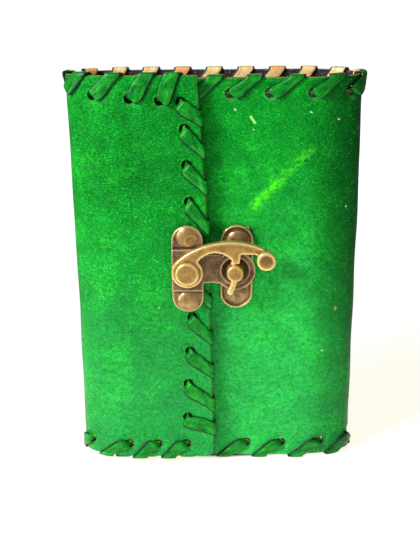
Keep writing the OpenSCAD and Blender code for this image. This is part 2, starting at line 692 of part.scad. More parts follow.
module pivot_rivet() {
    tail_t = 0.6;
    tail_r = 1.6 * shank_r;
    edge = 0.35;
    l = head_back - head_face;
    color(BRASS_LIGHT) {
        barrel(pivot_x, clasp_z, shank_r, block_back + root, head_back - root);
        barrel(pivot_x, clasp_z, tail_r, block_back, block_back + tail_t);
        turned(pivot_x, clasp_z, head_back) polygon([[0, 0], [pivot_head_r, 0],
            [pivot_head_r, l - edge], [pivot_head_r - edge, l], [0, l]]);
    }
}

// A domed cap with a socket that takes the end of its post
module dome(p, face) {
    ball = (cap_r * cap_r + cap_h * cap_h) / (2 * cap_h);
    difference() {
        intersection() {
            translate([p[0], face + ball - cap_h, p[1]]) sphere(ball, $fn = 96);
            barrel(p[0], p[1], cap_r + 1, face, face - cap_h - 1);
        }
        barrel(p[0], p[1], rivet_r + 0.02, face + 1, face - socket_l, 32);
    }
}
socket_l = 0.5;
module rivet_caps() {
    color(BRASS_LIGHT) {
        for (p = rivets_hasp) dome(p, lobe_face);
        for (p = rivets_catch) dome(p, catch_face);
    }
}
module rivet_posts() {
    color(BRASS) {
        for (p = rivets_hasp) one_post(p, flap_y + sheet_t, lobe_face);
        for (p = rivets_catch) one_post(p, front_y + sheet_t, catch_face);
    }
}
module one_post(p, inside, face) {
    barrel(p[0], p[1], base_r, inside, inside + base_t, 48);
    barrel(p[0], p[1], rivet_r, inside + root, face - socket_l + plate_play, 32);
}

// The origin is the middle of the foot of the whole book, clasp and lace included
module placed() {
    translate([0, -(knob_face + rear_y + lace_stand) / 2, 0]) children();
}
placed() leather_cover();
placed() cover_lining();
placed() page_block();
placed() spine_cloth();
placed() binding_thread();
placed() lace_top();
placed() lace_bottom();
placed() lace_flap();
placed() lace_fore_edge();
placed() hasp_plate();
placed() catch_plate();
placed() catch_post();
placed() swing_arm();
placed() pivot_rivet();
placed() rivet_caps();
placed() rivet_posts();
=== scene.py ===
import math

import bmesh
import bpy
import numpy as np
from mathutils import Matrix, Vector


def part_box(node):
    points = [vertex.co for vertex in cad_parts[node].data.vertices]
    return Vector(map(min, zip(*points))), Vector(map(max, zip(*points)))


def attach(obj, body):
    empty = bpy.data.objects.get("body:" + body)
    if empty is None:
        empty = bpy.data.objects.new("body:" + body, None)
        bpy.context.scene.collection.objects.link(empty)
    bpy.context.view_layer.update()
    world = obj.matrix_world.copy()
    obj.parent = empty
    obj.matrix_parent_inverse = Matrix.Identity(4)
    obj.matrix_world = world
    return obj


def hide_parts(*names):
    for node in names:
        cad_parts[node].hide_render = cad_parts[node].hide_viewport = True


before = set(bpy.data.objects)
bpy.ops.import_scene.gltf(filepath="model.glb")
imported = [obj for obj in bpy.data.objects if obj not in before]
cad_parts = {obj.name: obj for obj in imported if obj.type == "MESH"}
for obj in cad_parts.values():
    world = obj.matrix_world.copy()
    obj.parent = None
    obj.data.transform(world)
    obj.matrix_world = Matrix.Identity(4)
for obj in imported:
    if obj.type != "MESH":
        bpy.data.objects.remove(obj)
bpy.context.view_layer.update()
MM = 0.001


def mid_way(a, b, share):
    """The value at a share of the way from a to b."""
    return a + (b - a) * share


# The leather sheet, in millimetres
BOOK_W = 88.8
SHEET_H = 125.8
BOOK_T = 16.8
FORE_ROUND, FORE_TIP = 18.0, 7.0
SPINE_ROUND, SPINE_TIP = 18.0, 5.0
LEATHER_T = 1.4
LINING_T = 0.36
GLUE = 0.02
SHEET_T = LEATHER_T + GLUE + LINING_T
FLAP_CORNER_X = -0.8
FLAP_LEAN = 4.2
FLAP_RISE = 1.4
FLAP_CORNER_R = 3.0
COVER_SHORT = 12.4

# The lace, in millimetres
LACE_T = 0.74
LACE_W = 5.0
LACE_GAP = 0.12
LACE_STAND = LACE_T + LACE_GAP
LACE_N = LACE_GAP + LACE_T / 2
PUNCH_R = 1.6
PUNCH_INSET = 4.5
TOP_WANDER = (1.27, 1.46, 1.6)
FLAP_INSET = 5.5
FORE_INSET = 6.0
LAYER_PLAY = 0.08

# The clasp on the flap, in millimetres
CLASP_Z = 69.0
HASP_RIVETS = 21.0

# Places worked out from those
SHEET_Z = LACE_STAND
FRONT_Y = -BOOK_T / 2
REAR_Y = BOOK_T / 2
FLAP_Y = FRONT_Y - SHEET_T - 2 * LACE_STAND - LAYER_PLAY
COVER_EDGE_X = -BOOK_W / 2 + COVER_SHORT
MIDDLE_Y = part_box("leather_cover")[1].y / MM - REAR_Y


def oval(length, half, tip):
    """Radius and turn of the large arcs that ease a side into its small arc."""
    big = ((length - tip) ** 2 + half * half - tip * tip) / (2 * (half - tip))
    return big, math.atan2(length - tip, big - half)


SPINE_BIG, SPINE_TURN = oval(SPINE_ROUND, BOOK_T / 2, SPINE_TIP)
FORE_BIG, FORE_TURN = oval(FORE_ROUND, (REAR_Y - FLAP_Y) / 2, FORE_TIP)
SPINE_X = BOOK_W / 2 - SPINE_ROUND
FORE_X = -BOOK_W / 2 + FORE_ROUND


def side(big, turn, tip):
    """Three arcs round one side of the book: length and turn of each."""
    tip_turn = math.pi - 2 * turn
    return [(big * turn, turn), (tip * tip_turn, tip_turn), (big * turn, turn)]


PATH = ([(SPINE_X - COVER_EDGE_X, 0.0)] + side(SPINE_BIG, SPINE_TURN, SPINE_TIP)
        + [(SPINE_X - FORE_X, 0.0)] + side(FORE_BIG, FORE_TURN, FORE_TIP)
        + [(FLAP_CORNER_X - FORE_X, 0.0)])
WRAP_FIRST = 5  # number in PATH of the wrap's first arc, where the climb starts
FLAP_SEG = 8  # number in PATH of the flap
STARTS = np.concatenate([[0.0], np.cumsum([p[0] for p in PATH])])
FLAP_START = STARTS[FLAP_SEG]
SHEET_L = STARTS[-1]


def step_on(pose, seg, d):
    """Pose at distance d along a segment: x, y and heading."""
    x, y, h = pose
    length, turn = PATH[seg]
    if turn == 0.0:
        return np.array([x + d * math.cos(h), y + d * math.sin(h), h])
    r, g = length / turn, h + turn * d / length
    return np.array([x + r * (math.sin(g) - math.sin(h)), y - r * (math.cos(g) - math.cos(h)), g])


POSES = [np.array([COVER_EDGE_X, FRONT_Y, 0.0])]
for number in range(len(PATH)):
    POSES.append(step_on(POSES[-1], number, PATH[number][0]))
POSES = np.array(POSES)
TURN = np.array([p[1] for p in PATH])
LENGTH = np.array([p[0] for p in PATH])
CLIMB_Y = REAR_Y - SHEET_T
CLIMB = FLAP_RISE / (CLIMB_Y - FLAP_Y)


def sheet_point(s, n, z):
    """Points at length s along the sheet, n outside its outer face and z up, in millimetres."""
    s, n, z = np.broadcast_arrays(np.asarray(s, float), n, z)
    k = np.clip(np.searchsorted(STARTS, s, side="right") - 1, 0, FLAP_SEG)
    d = s - STARTS[k]
    h = POSES[k, 2]
    g = h + TURN[k] * d / LENGTH[k]
    bent = TURN[k] > 0
    r = np.where(bent, LENGTH[k] / np.where(bent, TURN[k], 1), 0)
    x = POSES[k, 0] + np.where(bent, r * (np.sin(g) - np.sin(h)), d * np.cos(h))
    y = POSES[k, 1] - np.where(bent, r * (np.cos(g) - np.cos(h)), -d * np.sin(h))
    x = x + n * np.sin(g)
    y = y - n * np.cos(g)
    climb = np.where(k < WRAP_FIRST, 0, CLIMB * np.maximum(0, CLIMB_Y - y))
    return np.stack([x, y + MIDDLE_Y, z + climb], -1)


def bend_at(s):
    """Curvature of the sheet's path at length s, per millimetre."""
    k = np.clip(np.searchsorted(STARTS, s, side="right") - 1, 0, FLAP_SEG)
    return TURN[k] / LENGTH[k]


# The flap's free edge leans, more so towards its top
FLAP_Z = SHEET_Z + FLAP_RISE
EDGE_Z = [FLAP_Z, FLAP_Z + 0.7 * SHEET_H, FLAP_Z + SHEET_H]
EDGE_X = [FLAP_CORNER_X, FLAP_CORNER_X - 0.43 * FLAP_LEAN, FLAP_CORNER_X - FLAP_LEAN]


def edge_x(z):
    """Place of the flap's free edge at height z."""
    return np.interp(z, EDGE_Z, EDGE_X)


# Stitch holes, as hand-spaced on the book
COVER_HOLES_TOP = [4, 14.8, 25.6, 36.7, 48.4, 61.2, 73.4]
FLAP_HOLES_TOP = [35.4, 24.1, 15.2]
COVER_HOLES_BOTTOM = [4.4, 17.6, 29.6, 41.6, 53.1, 66.3, 78.3]
FLAP_HOLES_BOTTOM = [42.2, 28.3, 18.8, 9.4]
REAR_STITCHES_TOP = 12
REAR_STITCHES_BOTTOM = 10
CLASP_DOWN = FLAP_Z + SHEET_H - CLASP_Z
ABOVE_CLASP = CLASP_DOWN - HASP_RIVETS
BELOW_CLASP = CLASP_DOWN + 0.795 * HASP_RIVETS


def lower(share):
    """Distance from the flap's top at a share of the way from the clasp to the flap's foot."""
    return BELOW_CLASP + share * (SHEET_H - BELOW_CLASP)


# Distance from the flap's top, and inset from its edge as a share of FLAP_INSET
FLAP_HOLES = [(0.203 * ABOVE_CLASP, 0.96), (0.414 * ABOVE_CLASP, 0.89), (0.7 * ABOVE_CLASP, 0.93),
              (ABOVE_CLASP, 0.95), (CLASP_DOWN + 0.16 * HASP_RIVETS, 1.04), (BELOW_CLASP, 1.02),
              (lower(0.235), 1.22), (lower(0.467), 1.4), (lower(0.711), 1.53)]
FORE_STITCHES = 10


def row(cover, flap, stitches):
    """Lengths along the sheet of all the holes of one edge."""
    first, last = cover[-1], SHEET_L - flap[0]
    between = [first + (last - first) * i / stitches for i in range(1, stitches)]
    return cover + between + [SHEET_L - f for f in flap]


HOLES_TOP = row(COVER_HOLES_TOP, FLAP_HOLES_TOP, REAR_STITCHES_TOP)
HOLES_BOTTOM = row(COVER_HOLES_BOTTOM, FLAP_HOLES_BOTTOM, REAR_STITCHES_BOTTOM)
TOP_EVEN = len(HOLES_TOP) - len(TOP_WANDER)
TOP_INSETS = [PUNCH_INSET] * TOP_EVEN + [wander * PUNCH_INSET for wander in TOP_WANDER]

# Each lace's run: length along its edge and inset of every hole, in the order of the stitches
RUN_TOP = list(zip(HOLES_TOP, TOP_INSETS))
RUN_BOTTOM = [(SHEET_L - s, PUNCH_INSET) for s in reversed(HOLES_BOTTOM)]
RUN_FLAP = [(down, share * FLAP_INSET) for down, share in FLAP_HOLES]
RUN_FORE = [((0.1 + 0.77 * i / (FORE_STITCHES - 1)) * SHEET_H, FORE_INSET)
            for i in range(FORE_STITCHES)]


# Points of each lace: u along its edge, v in from the edge, n outside the leather
def at_top(u, v, n):
    return sheet_point(u, n, SHEET_Z + SHEET_H - v)


def at_bottom(u, v, n):
    return sheet_point(SHEET_L - u, n, SHEET_Z + v)


def at_flap(u, v, n):
    u, v, n = np.broadcast_arrays(u, v, n)
    z = FLAP_Z + SHEET_H - u
    return np.stack([edge_x(z) - v, FLAP_Y - n + MIDDLE_Y, z], -1)


def at_fore(u, v, n):
    u, v, n = np.broadcast_arrays(u, v, n)
    return np.stack([COVER_EDGE_X + v, FRONT_Y - n + MIDDLE_Y, SHEET_Z + u], -1)


# Materials
class Nodes:
    """A new material, with short ways to add shader nodes and join them."""

    def __init__(self, name):
        self.material = bpy.data.materials.new(name)
        self.material.use_nodes = True
        self.tree = self.material.node_tree
        self.shader = self.tree.nodes["Principled BSDF"]

    def link(self, a, b):
        self.tree.links.new(a, b)

    def fill(self, node, inputs):
        """Links or sets a node's inputs, by name or number."""
        for name, value in inputs.items():
            if isinstance(value, bpy.types.NodeSocket):
                self.link(value, node.inputs[name])
            elif value is not None:
                node.inputs[name].default_value = value

    def add(self, kind, inputs=None, **settings):
        node = self.tree.nodes.new("ShaderNode" + kind)
        for key, value in settings.items():
            setattr(node, key, value)
        self.fill(node, inputs or {})
        return node

    def attribute(self, name, what="Fac"):
        return self.add("Attribute", attribute_name=name).outputs[what]

    def place(self):
        return self.add("TexCoord").outputs["Object"]

    def noise(self, vector, scale, detail=3.0, rough=0.55, distortion=0.0):
        inputs = {"Vector": vector, "Scale": scale, "Detail": detail, "Roughness": rough,
                  "Distortion": distortion}
        return self.add("TexNoise", inputs).outputs["Fac"]

    def cells(self, vector, scale, feature="F1"):
        inputs = {"Vector": vector, "Scale": scale}
        return self.add("TexVoronoi", inputs, feature=feature).outputs["Distance"]

    def math(self, operation, a, b):
        return self.add("Math", {0: a, 1: b}, operation=operation).outputs[0]

    def times(self, a, b):
        return self.math("MULTIPLY", a, b)

    def plus(self, a, b):
        return self.math("ADD", a, b)

    def weighted(self, *parts):
        """The sum of several values, each times its weight."""
        total = None
        for value, weight in parts:
            part = self.times(value, weight)
            total = part if total is None else self.plus(total, part)
        return total

    def vector_math(self, operation, a, b=None):
        return self.add("VectorMath", {0: a, 1: b}, operation=operation)

    def ramp(self, value, low, high, to_low=0.0, to_high=1.0):
        inputs = {"Value": value, "From Min": low, "From Max": high, "To Min": to_low,
                  "To Max": to_high}
        return self.add("MapRange", inputs, interpolation_type="SMOOTHSTEP").outputs["Result"]

    def mix(self, factor, a, b):
        """Colour a where the factor is 0 and b where it is 1."""
        a, b = (c if isinstance(c, bpy.types.NodeSocket) else (*c, 1.0) for c in (a, b))
        return self.add("Mix", {0: factor, 6: a, 7: b}, data_type="RGBA").outputs[2]

    def colours(self, value, stops):
        node = self.add("ValToRGB", {0: value})
        ramp = node.color_ramp
        while len(ramp.elements) < len(stops):
            ramp.elements.new(0.5)
        for element, (place, colour) in zip(ramp.elements, stops):
            element.position = place
            element.color = (*colour, 1.0)
        return node.outputs[0]

    def bump(self, height, distance, strength):
        """A relief whose whole height is the distance, in millimetres."""
        inputs = {"Strength": strength, "Distance": distance * MM, "Height": height}
        return self.add("Bump", inputs).outputs[0]

    def stretch(self, vector, scale):
        return self.add("Mapping", {"Vector": vector, "Scale": scale}).outputs[0]

    def surface(self, colour, roughness, normal=None, specular=None, tint=None, metallic=None):
        """The material, once its shader's inputs are linked or set."""
        self.fill(self.shader, {"Base Color": colour, "Roughness": roughness, "Normal": normal,
                                "Specular IOR Level": specular, "Specular Tint": tint,
                                "Metallic": metallic})
        return self.material


# Marks on the front cover: place on the sheet (length from its edge, height) in millimetres
SCUFF = ((44.2, 87.1), (60.5, 104.2))
NICK = ((42.8, 114.3), (44.0, 112.5))
CHIPS = ((60.5, 115.7), (69.1, 113.2), (38.0, 116.6), (66.0, 38.0))
RUST_SPOT = (70.4, 51.7)


def near_line(m, place, ends, reach):
    """1 on a line between two places on the sheet, fading to 0 at the reach."""
    (ax, ay), (bx, by) = ends
    dx, dy = bx - ax, by - ay
    size = dx * dx + dy * dy
    offset = m.vector_math("SUBTRACT", place, (ax, ay, 0)).outputs[0]
    dot = m.vector_math("DOT_PRODUCT", offset, (dx / size, dy / size, 0)).outputs["Value"]
    along = m.math("MINIMUM", m.math("MAXIMUM", dot, 0.0), 1.0)
    foot = m.add("VectorMath", {0: (dx, dy, 0), "Scale": along}, operation="SCALE").outputs[0]
    gap = m.vector_math("SUBTRACT", offset, foot).outputs[0]
    length = m.vector_math("LENGTH", gap).outputs["Value"]
    return m.ramp(length, 0.0, reach, 1.0, 0.0)


# Colours of the leather, in linear light
DYE_STOPS = [(0.37, (0.0003, 0.07, 0.005)), (0.46, (0.0005, 0.155, 0.009)),
             (0.54, (0.0010, 0.25, 0.014)), (0.62, (0.020, 0.53, 0.040))]
GRAIN_LIGHT, GRAIN_DARK = (0.012, 0.60, 0.045), (0.0003, 0.09, 0.006)
LINES_LIGHT, LINES_DARK = (0.045, 0.68, 0.060), (0.0008, 0.10, 0.012)
# Painted sheen: the front cover paler and whiter low down, standing in for light from the table
PAINTED_SHEEN = (0.036, 0.66, 0.110)
# Painted sheen: a whitish bloom low on the whole sheet, standing in for light from the table
PAINTED_BLOOM = (0.070, 0.42, 0.190)
WORN_DYE = (0.020, 0.58, 0.014)
# Darker at the spine: partly burnished dye, partly painted shade
BURNISH_AND_SHADE = (0.0004, 0.045, 0.006)
# Painted glints
GLINT = (0.06, 0.74, 0.12)
SCUFFED = (0.070, 0.78, 0.012)
SPOT, NICKED, CHIPPED = (0.45, 0.62, 0.32), (0.30, 0.80, 0.18), (0.50, 0.78, 0.42)
RUST = (0.55, 0.25, 0.04)
# Painted highlight on the lower rims of the holes
LIP_HIGHLIGHT = (0.30, 0.85, 0.36)
CUT_STOPS = [(0.35, (0.22, 0.11, 0.03)), (0.65, (0.60, 0.36, 0.15))]
# Painted shade in the holes
HOLE_SHADE = (0.004, 0.010, 0.004)


# Where the colour changes, from and to, in millimetres: lengths along the sheet, then heights.
# The changes with height are painted light and shade; the darkening at the spine is partly dye,
# partly painted shade
FRONT_END, SPINE_START, SPINE_END, REAR = (58, 68), (61, 76), (100, 116), (150, 200)
DARKER_UP, SHEEN_DOWN, BLOOM_DOWN, BURNISH_AND_SHADE_UP = (15, 110), (60, 112), (15, 95), (20, 80)


def dyed_green(m, place, blotch, fleck, grain):
    """The colour over the whole sheet: mottled dye, with painted sheen low down, painted shade
    higher up, darker at the spine as burnished dye and painted shade, and painted glints.
    """
    split = m.add("SeparateXYZ", {0: place})
    along, up = split.outputs["X"], split.outputs["Y"]
    broad = m.noise(place, 0.035, 3, 0.5)
    fine = m.noise(place, 1.9, 3, 0.95)
    mottle = m.weighted((broad, 0.20), (blotch, 0.27), (fleck, 0.30), (fine, 0.38))
    # Painted shade: darker overall, and more so towards the top
    mottle = m.plus(mottle, m.ramp(up, *DARKER_UP, -0.052, -0.090))
    mottle = m.plus(mottle, m.ramp(along, *REAR, 0.0, -0.02))
    green = m.colours(mottle, DYE_STOPS)
    green = m.mix(m.ramp(grain, 0.54, 0.68, 0.0, 0.6), green, GRAIN_LIGHT)
    green = m.mix(m.ramp(grain, 0.34, 0.47, 0.6, 0.0), green, GRAIN_DARK)

    # Painted sheen: the front cover paler and whiter low down, standing in for light from the table
    front_cover = m.ramp(along, *FRONT_END, 1.0, 0.0)
    low_sheen = m.times(m.ramp(up, *SHEEN_DOWN, 1.0, 0.0), front_cover)
    low_sheen = m.times(low_sheen, m.ramp(fleck, 0.38, 0.60, 0.35, 1.35))
    low_sheen = m.times(low_sheen, m.ramp(m.noise(place, 0.16, 4, 0.7), 0.3, 0.65, 0.25, 0.75))
    green = m.mix(m.times(low_sheen, 0.50), green, PAINTED_SHEEN)
    # Painted sheen: a whitish bloom low on the whole sheet, standing in for light from the table
    low_bloom = m.times(m.ramp(up, *BLOOM_DOWN, 0.19, 0.0), m.ramp(fleck, 0.35, 0.6, 0.4, 1.3))
    green = m.mix(low_bloom, green, PAINTED_BLOOM)
    lines = m.noise(m.stretch(place, (0.55, 1.5, 1.0)), 2.0, 3, 0.9)
    green = m.mix(m.ramp(lines, 0.53, 0.66, 0.0, 0.42), green, LINES_LIGHT)
    green = m.mix(m.ramp(lines, 0.34, 0.48, 0.42, 0.0), green, LINES_DARK)

    worn = m.ramp(m.noise(place, 0.075, 3, 0.6), 0.50, 0.64)
    green = m.mix(m.times(worn, m.ramp(fleck, 0.44, 0.60, 0.0, 0.35)), green, WORN_DYE)
    # Darker at the spine and more so higher up: partly burnished dye, partly painted shade where
    # the sheet turns from the light
    spine = m.times(m.ramp(along, *SPINE_START), m.ramp(along, *SPINE_END, 1.0, 0.0))
    green = m.mix(m.times(spine, m.ramp(up, *BURNISH_AND_SHADE_UP, 0.33, 0.74)), green, BURNISH_AND_SHADE)
    # Painted glints: small bright specks standing in for highlights
    glint = m.ramp(m.cells(place, 1.1), 0.10, 0.25, 1.0, 0.0)
    return m.mix(m.times(glint, m.ramp(blotch, 0.44, 0.6, 0.05, 0.6)), green, GLINT)


def marked(m, place, fleck, green):
    """The scuff, spots, nick, chips and rust spot over the dye."""
    (low, start), (high, end) = SCUFF
    half_way = (mid_way(low, high, 0.45), mid_way(start, end, 0.45))
    thin_part = m.times(near_line(m, place, SCUFF, 2.3), 0.55)
    rubbed = m.math("MAXIMUM", thin_part, near_line(m, place, (SCUFF[0], half_way), 2.6))
    patches = m.ramp(m.noise(place, 0.33, 3, 0.7), 0.38, 0.56, 0.25, 1.0)
    broken = m.times(m.ramp(fleck, 0.40, 0.52), patches)
    green = m.mix(m.times(rubbed, broken), green, SCUFFED)
    spots = m.ramp(m.cells(place, 0.115), 0.03, 0.045, 1.0, 0.0)
    spots = m.times(spots, m.ramp(m.noise(place, 0.05, 2), 0.45, 0.6))
    green = m.mix(spots, green, SPOT)
    green = m.mix(near_line(m, place, NICK, 0.6), green, NICKED)
    for x, z in CHIPS:
        green = m.mix(near_line(m, place, ((x, z), (x + 0.3, z - 0.2)), 0.4), green, CHIPPED)
    x, z = RUST_SPOT
    return m.mix(near_line(m, place, ((x, z), (x, z + 0.4)), 0.7), green, RUST)


def leather_material():
    """Dyed green leather: mottled, fine-grained, scuffed, tan where it is cut."""
    m = Nodes("dyed_leather")
    place = m.attribute("sheet", "Vector")
    blotch = m.noise(place, 0.13, 5, 0.62, distortion=0.4)
    fleck = m.noise(place, 0.7, 5, 0.85)
    grain = m.noise(place, 1.45, 3, 0.85)
    green = dyed_green(m, place, blotch, fleck, grain)
    green = marked(m, place, fleck, green)
    # Painted highlight on the lower rims of the holes; the same mask also makes them glossier
    lip_highlight = m.attribute("lip_highlight")
    green = m.mix(m.times(lip_highlight, 0.14), green, LIP_HIGHLIGHT)
    colour = m.mix(m.attribute("cut"), green, m.colours(m.noise(place, 0.9, 4, 0.7), CUT_STOPS))
    # Painted shade: the walls of the holes and the inner face round them nearly black
    colour = m.mix(m.attribute("hole"), colour, HOLE_SHADE)
    rough = m.ramp(m.noise(place, 0.3, 4, 0.6), 0.3, 0.7, 0.27, 0.42)
    rough = m.math("SUBTRACT", rough, m.times(lip_highlight, 0.10))
    pores = m.ramp(m.cells(place, 1.5, "DISTANCE_TO_EDGE"), 0.0, 0.18)
    wrinkle = m.noise(m.stretch(place, (0.45, 1.5, 1.0)), 0.9, 4, 0.7)
    pits = m.noise(place, 2.4, 4, 0.7)
    height = m.weighted((pores, 0.35), (pits, 0.9), (wrinkle, 1.3), (grain, 1.2))
    return m.surface(colour, rough, m.bump(height, 0.18, 0.8), specular=0.22,
                     tint=(0.12, 1.0, 0.32, 1.0))


def lining_material():
    """Black flocked lining with pale specks of dust."""
    m = Nodes("lining")
    place = m.attribute("sheet", "Vector")
    speck = m.ramp(m.noise(place, 1.7, 3, 0.8), 0.58, 0.70)
    colour = m.mix(speck, (0.012, 0.010, 0.012), (0.42, 0.41, 0.42))
    return m.surface(colour, 0.8, m.bump(m.noise(place, 2.6, 3, 0.6), 0.25, 0.8))


# Colours of the lace, in linear light
LACE_STOPS = [(0.32, (0.0006, 0.05, 0.005)), (0.46, (0.0010, 0.135, 0.009)),
              (0.58, (0.003, 0.24, 0.014)), (0.74, (0.05, 0.44, 0.04))]
# Darker near the spine: partly burnished, partly painted shade
LACE_BURNISH_AND_SHADE = (0.004, 0.035, 0.005)
FLESH_STOPS = [(0.3, (0.52, 0.27, 0.08)), (0.5, (0.90, 0.58, 0.26)), (0.7, (0.98, 0.80, 0.48))]
FLESH_RAW = (0.72, 0.29, 0.06)
FLESH_STAINED = (0.55, 0.62, 0.03)
# Dark cut edges, partly the edge's own colour and partly painted shade
LACE_EDGE_AND_SHADE = (0.006, 0.013, 0.012)


def lace_material():
    """Leather lace: green grain outside, tan flesh inside, dark along its cut edges, more widely on
    one side as painted shade, and darker near the spine, partly as painted shade.
    """
    m = Nodes("lace_leather")
    place = m.attribute("strip", "Vector")
    streak = m.noise(m.stretch(place, (0.25, 1.2, 1.0)), 1.0, 4, 0.7)
    blotch = m.noise(place, 0.35, 4, 0.6)
    fine = m.noise(place, 2.8, 2, 0.8)
    tone = m.weighted((streak, 0.4), (blotch, 0.35), (fine, 0.25))
    tone = m.plus(m.times(tone, 1.5), -0.25)
    green = m.colours(tone, LACE_STOPS)
    # Darker near the spine: partly burnished, partly painted shade
    green = m.mix(m.times(m.attribute("burnish_and_shade"), 0.55), green, LACE_BURNISH_AND_SHADE)
    raw = m.ramp(m.noise(m.stretch(place, (1.0, 0.0, 0.0)), 0.045, 2), 0.53, 0.62)
    tan = m.mix(m.times(raw, 0.7), m.colours(tone, FLESH_STOPS), FLESH_RAW)
    bleed = m.plus(m.attribute("inside"), m.times(m.math("SUBTRACT", blotch, 0.5), 0.45))
    stained = m.mix(m.ramp(bleed, 0.62, 0.95), FLESH_STAINED, tan)
    colour = m.mix(m.ramp(bleed, 0.38, 0.55), green, stained)
    colour = m.mix(m.ramp(m.attribute("rim"), 0.12, 0.5), colour, LACE_EDGE_AND_SHADE)
    rough = m.ramp(blotch, 0.3, 0.7, 0.26, 0.44)
    height = m.plus(streak, m.times(m.noise(place, 3.0, 3, 0.6), 0.5))
    return m.surface(colour, rough, m.bump(height, 0.14, 0.6), specular=0.34,
                     tint=(0.50, 1.0, 0.65, 1.0))


def brass_material(name, dark, mid, bright, rough):
    """Antiqued brass: dark in the recesses, worn bright along the edges."""
    m = Nodes(name)
    place = m.place()
    stain = m.noise(place, 260, 5, 0.65)
    fine = m.noise(place, 1500, 3, 0.6)
    tone = m.weighted((stain, 0.55), (fine, 0.25), (m.attribute("worn"), 0.5))
    colour = m.colours(tone, [(0.30, dark), (0.52, mid), (0.80, bright)])
    height = m.plus(stain, m.times(fine, 0.5))
    rough = m.ramp(tone, 0.3, 0.8, rough + 0.12, rough - 0.08)
    return m.surface(colour, rough, m.bump(height, 0.05, 0.5), metallic=0.62)


def paper_material():
    """Off-white hand-made paper with a fibrous face."""
    m = Nodes("paper")
    place = m.place()
    stops = [(0.3, (0.62, 0.54, 0.37)), (0.7, (0.84, 0.78, 0.62))]
    colour = m.colours(m.noise(place, 180, 4, 0.6), stops)
    return m.surface(colour, 0.85, m.bump(m.noise(place, 900, 4, 0.7), 0.2, 0.6))


def thread_material(name, colour, scale):
    """Undyed thread or cloth with a banded weave."""
    m = Nodes(name)
    weave = {"Vector": m.place(), "Scale": scale, "Distortion": 1.5}
    bands = m.add("TexWave", weave, wave_type="BANDS", bands_direction="Z").outputs["Fac"]
    shade = tuple(0.6 * c for c in colour)
    return m.surface(m.mix(bands, shade, colour), 0.8, m.bump(bands, 0.15, 0.6))


LEATHER = leather_material()
LINING = lining_material()
LACE = lace_material()
BRASS = brass_material("antique_brass", (0.05, 0.031, 0.020), (0.32, 0.205, 0.110),
                       (0.82, 0.58, 0.29), 0.38)
WORN_BRASS = brass_material("worn_brass", (0.22, 0.122, 0.036), (0.64, 0.39, 0.112),
                            (0.97, 0.72, 0.30), 0.32)
DOME_BRASS = brass_material("dome_brass", (0.12, 0.072, 0.030), (0.46, 0.30, 0.115),
                            (0.90, 0.68, 0.33), 0.26)
PAPER = paper_material()
CLOTH = thread_material("binding_cloth", (0.62, 0.56, 0.44), 1500)
THREAD = thread_material("thread", (0.72, 0.66, 0.48), 2500)


# Mesh making
def new_object(name, data):
    made = bpy.data.objects.new(name, data)
    bpy.context.scene.collection.objects.link(made)
    return made


def store(mesh, key, values):
    """Keeps one value or vector a vertex for the material."""
    values = np.asarray(values, np.float32)
    kind, what = ("FLOAT_VECTOR", "vector") if values.ndim == 2 else ("FLOAT", "value")
    mesh.attributes.new(key, kind, "POINT").data.foreach_set(what, values.ravel())


def make_piece(name, points_mm, faces, material, body, slot, replaced, attributes=None,
               smooth=True):
    """A mesh piece in metres that rides on a body."""
    mesh = bpy.data.meshes.new(name)
    mesh.from_pydata((np.asarray(points_mm) * MM).tolist(), [], [list(map(int, f)) for f in faces])
    mesh.update()
    for key, values in (attributes or {}).items():
        store(mesh, key, values)
    if smooth:
        mesh.shade_smooth()
    mesh.materials.append(material)
    piece = new_object(name, mesh)
    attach(piece, body)
    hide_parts(*replaced)


def waves(s, z, seed, lengths, size):
    """A gentle random relief: the sum of a few long waves over the sheet."""
    rng = np.random.default_rng(seed)
    total = np.zeros(np.broadcast(s, z).shape)
    for length in lengths:
        angle, phase = rng.uniform(0, math.pi), rng.uniform(0, 2 * math.pi)
        total += np.sin((s * math.cos(angle) + z * math.sin(angle)) * 2 * math.pi / length + phase)
    return size * total / math.sqrt(len(lengths))


EDGE_REACH = 8.0  # most that a lace runs along the edge from its hole to where it crosses
EDGE_SHARE = 0.6  # the same, as a share of the way to the next hole
TAIL_REACH = 3.8  # the same after a lace's last hole
LACE_SHADE = 2.3  # half width of the leather that the lace holds down
PUCKER, PUCKER_SINK = 0.42, 0.16
TOP_PUCKER_REACH, FLAP_PUCKER_REACH = 6.5, 7.0


def edge_cross(hole, following):
    """Where the lace goes over the edge between two stitches."""
    return hole[0] + min(EDGE_REACH, EDGE_SHARE * (following[0] - hole[0]))


def near_lace(u, v, run):
    """How close a point is to the lace's outside stretches, 0 far to 1 under the lace."""
    close = np.zeros(np.broadcast(u, v).shape)
    ends = [edge_cross(a, b) for a, b in zip(run, run[1:])] + [run[-1][0] + TAIL_REACH]
    for (hole_u, hole_v), cross in zip(run, ends):
        du, dv = cross - hole_u, -hole_v
        t = np.clip(((u - hole_u) * du + (v - hole_v) * dv) / (du * du + dv * dv), 0, 1)
        d = np.hypot(u - hole_u - t * du, v - hole_v - t * dv)
        close = np.maximum(close, np.exp(-(d / LACE_SHADE) ** 2))
    return close


